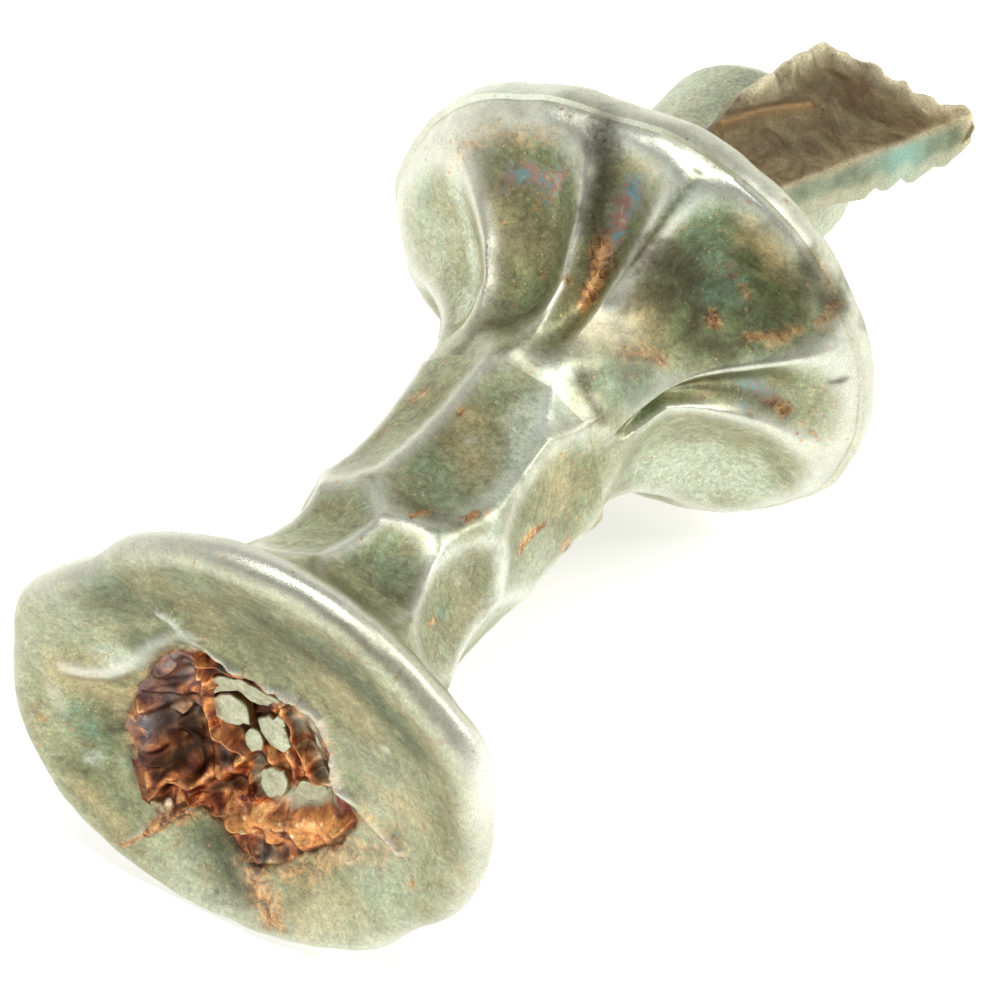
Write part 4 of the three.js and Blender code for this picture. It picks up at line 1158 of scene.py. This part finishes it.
# Paint on the copper: a line of places (x, z), a width and a strength.
# Painted shadows beside the lumps, next to the flakes and over the left flank.
COPPER_SHADOWS = [
    ([(-3.7, -0.4), (-3.4, -1.8)], 0.8, 0.45),
    ([(-3.4, -2.2), (-2.8, -2.7), (-3.4, -3.3)], 0.70, 1.0),
    ([(-2.6, -0.6), (-2.5, -1.8)], 0.35, 0.9),
    ([(-1.8, -3.8), (-1.1, -3.3), (-0.6, -2.9)], 0.22, 0.9),
    ([(-0.4, -5.3), (-0.4, -6.2)], 0.4, 0.9),
    ([(-1.4, 1.9), (-0.4, 2.0), (0.6, 2.1)], 0.22, 0.8),
    ([(1.5, -1.9), (0.8, -1.4)], 0.25, 0.7),
]
COPPER_BLUE = [
    ([(-4.2, 0.4), (-3.9, -1.0), (-4.3, -2.0)], 0.8, 1.0),
    ([(-3.2, 1.8), (-3.3, 0.4)], 0.6, 1.0),
    ([(-2.9, -1.2)], 0.4, 0.7),
    ([(1.3, -3.5), (1.5, -3.9)], 0.25, 0.6),
    ([(0.6, -5.0)], 0.3, 0.5),
]
COPPER_GREY = [
    ([(0.1, -2.6), (1.5, -2.7), (2.7, -1.7)], 0.55, 1.0),
    ([(1.5, 2.0), (2.2, 0.9), (2.7, -0.5)], 0.55, 1.0),
    ([(0.8, -5.6), (1.3, -6.8)], 0.7, 0.6),
]


def copper_relief(x, z):
    """How far the copper stands out: lumps, the lip of the cup, and the hollow inside it."""
    flat = on_plane(x, z)
    wander = flat + 0.12 * np.stack([waves(flat, 0.7, seed) for seed in (93, 94, 95)], -1)
    lumps = np.zeros_like(x)
    for line, width, height in COPPER_LUMPS:
        lumps = np.maximum(lumps, height * ridge(wander[..., ::2], line, width))
    cup_x = (wander[..., 0] - CUP_CENTRE[0]) / CUP_REACH[0]
    cup_z = (wander[..., 2] - CUP_CENTRE[1]) / CUP_REACH[1]
    hollow = 0.22 * (1 - smoothstep(np.hypot(cup_x, cup_z), 0.75, 1.0))
    crumple = 0.17 * (1 - np.abs(waves(flat, 0.9, 91))) ** 2 + 0.045 * waves(flat, 0.35, 92)
    smooth = plateau_share(x, z)
    return lumps + crumple * (1 - 0.85 * smooth) + 0.12 * smooth - hollow


def plateau_share(x, z):
    """1 on the smooth patch of white metal that lies across the lower half of the copper."""
    gap = line_distance(np.stack([x, z], -1), [(0.4, -2.7), (1.4, -2.5), (2.7, -1.9)])
    return 1 - smoothstep(gap, 0.55, 0.95)


def copper_burr():
    """Fills the crater: its outline is a little larger than the crater's, hidden under the skin."""
    outline = closed_outline(CRATER_EDGE, 0.06)
    front, back = BURR_ROWS
    shares = [np.linspace(0.01, BURR_REACH, front), np.linspace(BURR_REACH, 0.01, back)]
    x, z = scaled_outline(outline, BURR_CENTRE, np.concatenate(shares)[:, None])
    flat = on_plane(x, z)
    inward = inside_crater(flat)
    relief = copper_relief(x, z) * smoothstep(inward, -0.2, 0.35)
    flank = 0.7 * np.exp(-((x + 3.2) / 0.9) ** 2 - ((z + 1.3) / 1.7) ** 2)
    face = face_height(np.hypot(x, z))
    y = face + 0.12 + 0.5 * smoothstep(inward, 0, 1.2) + flank - relief
    y[front:] = face[front:] + BURR_THICKNESS
    points = np.stack([x, y, z], -1)
    painted_shadow, blue, grey = (
        painted(flat, flat_marks(marks), ragged=0.5, seed=7)
        for marks in (COPPER_SHADOWS, COPPER_BLUE, COPPER_GREY)
    )
    blotches = smoothstep(0.5 + 0.5 * waves(points, 0.8, 96), 0.45, 0.7)
    raised = smoothstep(relief, 0.35, 0.6)
    folds = 0.85 * (1 - smoothstep(relief, -0.05, 0.20)) * (1 - blue)
    # Worn is the painted highlight on the raised lumps; dark is painted shade in the low folds and
    # the painted shadows.
    masks = {
        "worn": smoothstep(relief, 0.45, 0.9) * (1 - 0.7 * painted_shadow),
        "dark": np.maximum(folds, painted_shadow * (1 - raised)),
        "stain": blue * (1 - 0.8 * raised) * (1 - 0.45 * blotches),
        "pale": grey * (1 - raised),
    }
    faces = capped_faces(*points.shape[:2])
    make_piece("copper_burr_lumps", points, faces, COPPER, "copper_burr", masks)


# Pale flakes: CAD node, depth of the front face, lean to the right, lean up, outline (x, z).
FLAKES = [
    ("chip_large", 1.98, -0.10, 0.12,
     [(-2.1, 0.1), (-1.5, 0.6), (-0.95, 0.65), (-0.7, 0.55), (-0.5, -0.1), (-1.1, -0.5),
      (-1.8, -0.6)]),
    ("chip_sliver", 2.05, 0.05, -0.12,
     [(-2.15, 0.5), (-2.1, 1.1), (-1.7, 1.35), (-0.8, 1.75), (0.0, 1.6), (0.7, 1.5), (0.45, 1.1),
      (-0.1, 0.8), (-0.5, 0.85), (-1.1, 1.15), (-1.75, 1.0), (-1.95, 0.45)]),
    ("chip_middle", 1.95, 0.12, 0.05,
     [(-0.7, -0.7), (-0.4, -0.4), (-0.2, -0.5), (-0.05, -0.8), (0.0, -1.2), (-0.4, -1.4),
      (-0.6, -1.1)]),
    ("chip_upper", 1.95, -0.10, 0.10,
     [(-0.2, 0.1), (0.2, 0.5), (0.9, 0.3), (1.15, -0.3), (0.9, -0.7), (0.3, -0.6), (0.0, -0.3)]),
    ("chip_edge", 1.90, 0.15, 0.0,
     [(0.5, 0.62), (0.75, 0.95), (1.0, 0.8), (0.95, 0.5), (0.65, 0.5)]),
    ("chip_low", 1.80, -0.06, 0.10,
     [(0.0, -2.3), (0.3, -1.8), (0.85, -1.6), (1.1, -2.2), (0.9, -2.8), (0.35, -3.1), (0.1, -2.9)]),
    ("chip_right", 1.82, 0.08, -0.05,
     [(1.4, -2.1), (1.6, -1.8), (2.05, -1.45), (2.6, -1.5), (2.75, -2.0), (2.2, -2.5),
      (1.7, -2.8), (1.3, -2.6)]),
]
FLAKE_THICKNESS = 0.5
# From the middle of a flake's front face, over its edge, to the middle of its back.
FLAKE_SECTION = [
    (0.02, 0.0), (0.5, 0.0), (0.96, 0.0), (1.03, 0.04), (1.06, 0.12), (1.06, 0.8), (1.0, 1.0),
    (0.02, 1.0),
]


def flake(index, node, front_y, lean_right, lean_up, corners):
    """A thin pale chip with a broken outline, a narrow bevel and a slightly wavy face."""
    outline = closed_outline(corners, 0.035)
    outline = (outline + np.roll(outline, 1, axis=0) + np.roll(outline, -1, axis=0)) / 3
    middle = outline.mean(0)
    section = evenly(FLAKE_SECTION, 0.05)
    reach, through = section[:, :1], section[:, 1:]
    x, z = scaled_outline(outline, middle, reach)
    flat = on_plane(x, z)
    jag = 0.03 * waves(flat, 0.25, 131 + index) * reach
    lean = lean_right * (x - middle[0]), lean_up * (z - middle[1])
    y = front_y + FLAKE_THICKNESS * through + lean[0] + lean[1]
    y = y + 0.03 * waves(flat, 0.6, 101 + index)
    points = np.stack([x + jag, y, z - jag], -1)
    masks = {"copper": smoothstep(through, 0.1, 0.3)}
    faces = capped_faces(*points.shape[:2])
    make_piece(node + "_flake", points, faces, FLAKE, node, masks)


# ---------------------------------------------------------------- build the pieces

small_head()
shank()
large_head()
rear_collar()
torn_tail()
copper_burr()
for number, settings in enumerate(FLAKES):
    flake(number, *settings)

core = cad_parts["core_pin"]
core.data.materials.clear()
core.data.materials.append(COPPER)

# ---------------------------------------------------------------- floor, light and camera

CAMERA_AZIMUTH = np.radians(31.55)
CAMERA_ELEVATION = np.radians(45.0)
CAMERA_DISTANCE = 220.0
CAMERA_ABOUT = np.array([-0.34, 12.7, 0.0])     # the point that the camera circles
CAMERA_AIM = (2.74, 1.01)     # how far right of it and above it the camera aims
CAMERA_LENS = 229.2
FLOOR_HALF = 3.0              # metres

back = np.array([
    np.sin(CAMERA_AZIMUTH) * np.cos(CAMERA_ELEVATION),
    -np.cos(CAMERA_AZIMUTH) * np.cos(CAMERA_ELEVATION),
    np.sin(CAMERA_ELEVATION),
])


def camera():
    right = np.cross(-back, [0, 0, 1.0])
    right /= np.linalg.norm(right)
    above = np.cross(right, -back)
    eye = CAMERA_ABOUT + back * CAMERA_DISTANCE
    aim = CAMERA_ABOUT + right * CAMERA_AIM[0] + above * CAMERA_AIM[1]
    forward = (aim - eye) / np.linalg.norm(aim - eye)
    right -= forward * (right @ forward)
    right /= np.linalg.norm(right)
    above = np.cross(right, forward)
    axes = LEAN_TURN @ np.stack([right, above, -forward], -1)
    data = bpy.data.cameras.new("camera")
    data.lens = CAMERA_LENS
    data.sensor_width = 36
    data.clip_start = 0.01
    data.clip_end = 10
    made = add_object("camera", data)
    made.matrix_world = Matrix.Translation(Vector(to_world(eye))) @ Matrix(axes.tolist()).to_4x4()
    bpy.context.scene.camera = made


def floor():
    mesh = bpy.data.meshes.new("floor")
    corners = [(x * FLOOR_HALF, y * FLOOR_HALF, 0) for x, y in ((-1, -1), (1, -1), (1, 1), (-1, 1))]
    mesh.from_pydata(corners, [], [(0, 1, 2, 3)])
    made = add_object("floor", mesh)
    material = bpy.data.materials.new("pale_floor")
    material.use_nodes = True
    shader = material.node_tree.nodes["Principled BSDF"]
    shader.inputs["Base Color"].default_value = (0.9, 0.9, 0.9, 1)
    shader.inputs["Roughness"].default_value = 0.8
    shader.inputs["Specular IOR Level"].default_value = 0.1
    shader.inputs["Emission Color"].default_value = (1.0, 1.0, 0.99, 1)
    shader.inputs["Emission Strength"].default_value = 0.5
    mesh.materials.append(material)


def sky():
    """A bright surround, greyer overhead and round the place where a photographer would stand."""
    world = bpy.data.worlds.new("studio")
    world.use_nodes = True
    tree = world.node_tree
    direction = add_node(tree, "ShaderNodeTexCoord").outputs["Generated"]

    def fades(axis, start, end, low):
        inputs = {0: direction, 1: axis}
        along = add_node(tree, "ShaderNodeVectorMath", inputs, operation="DOT_PRODUCT")
        limits = {"From Min": start, "From Max": end, "To Min": 1.0, "To Max": low}
        inputs = {"Value": along.outputs["Value"], **limits}
        made = add_node(tree, "ShaderNodeMapRange", inputs, interpolation_type="SMOOTHSTEP")
        return made.outputs["Result"]

    overhead = fades((0, 0, 1), 0.25, 0.75, 0.48)
    camera_side = fades(tuple(back), 0.45, 0.85, 0.60)
    strength = add_node(tree, "ShaderNodeMath", {0: overhead, 1: camera_side}, operation="MULTIPLY")
    background = tree.nodes["Background"]
    background.inputs["Color"].default_value = (1.0, 1.0, 0.98, 1)
    tree.links.new(strength.outputs[0], background.inputs["Strength"])
    bpy.context.scene.world = world


def soft_light(name, place, length, width, power):
    """A rectangular softbox that faces the nail, its long side along x."""
    data = bpy.data.lights.new(name, "AREA")
    data.shape = "RECTANGLE"
    data.size = length
    data.size_y = width
    data.energy = power
    made = add_object(name, data)
    made.location = place
    facing = Vector(place).normalized()
    side = Vector((0, 1, 0)).cross(facing).normalized()
    made.rotation_mode = "QUATERNION"
    turn = Matrix((side, facing.cross(side), facing)).transposed()
    made.rotation_quaternion = turn.to_quaternion()


floor()
sky()
soft_light("overhead", (0.03, -0.08, 0.50), 0.50, 0.07, 1.0)
soft_light("right", (0.27, 0.155, 0.26), 0.10, 0.10, 0.35)
camera()
bpy.context.scene.view_settings.view_transform = "Standard"
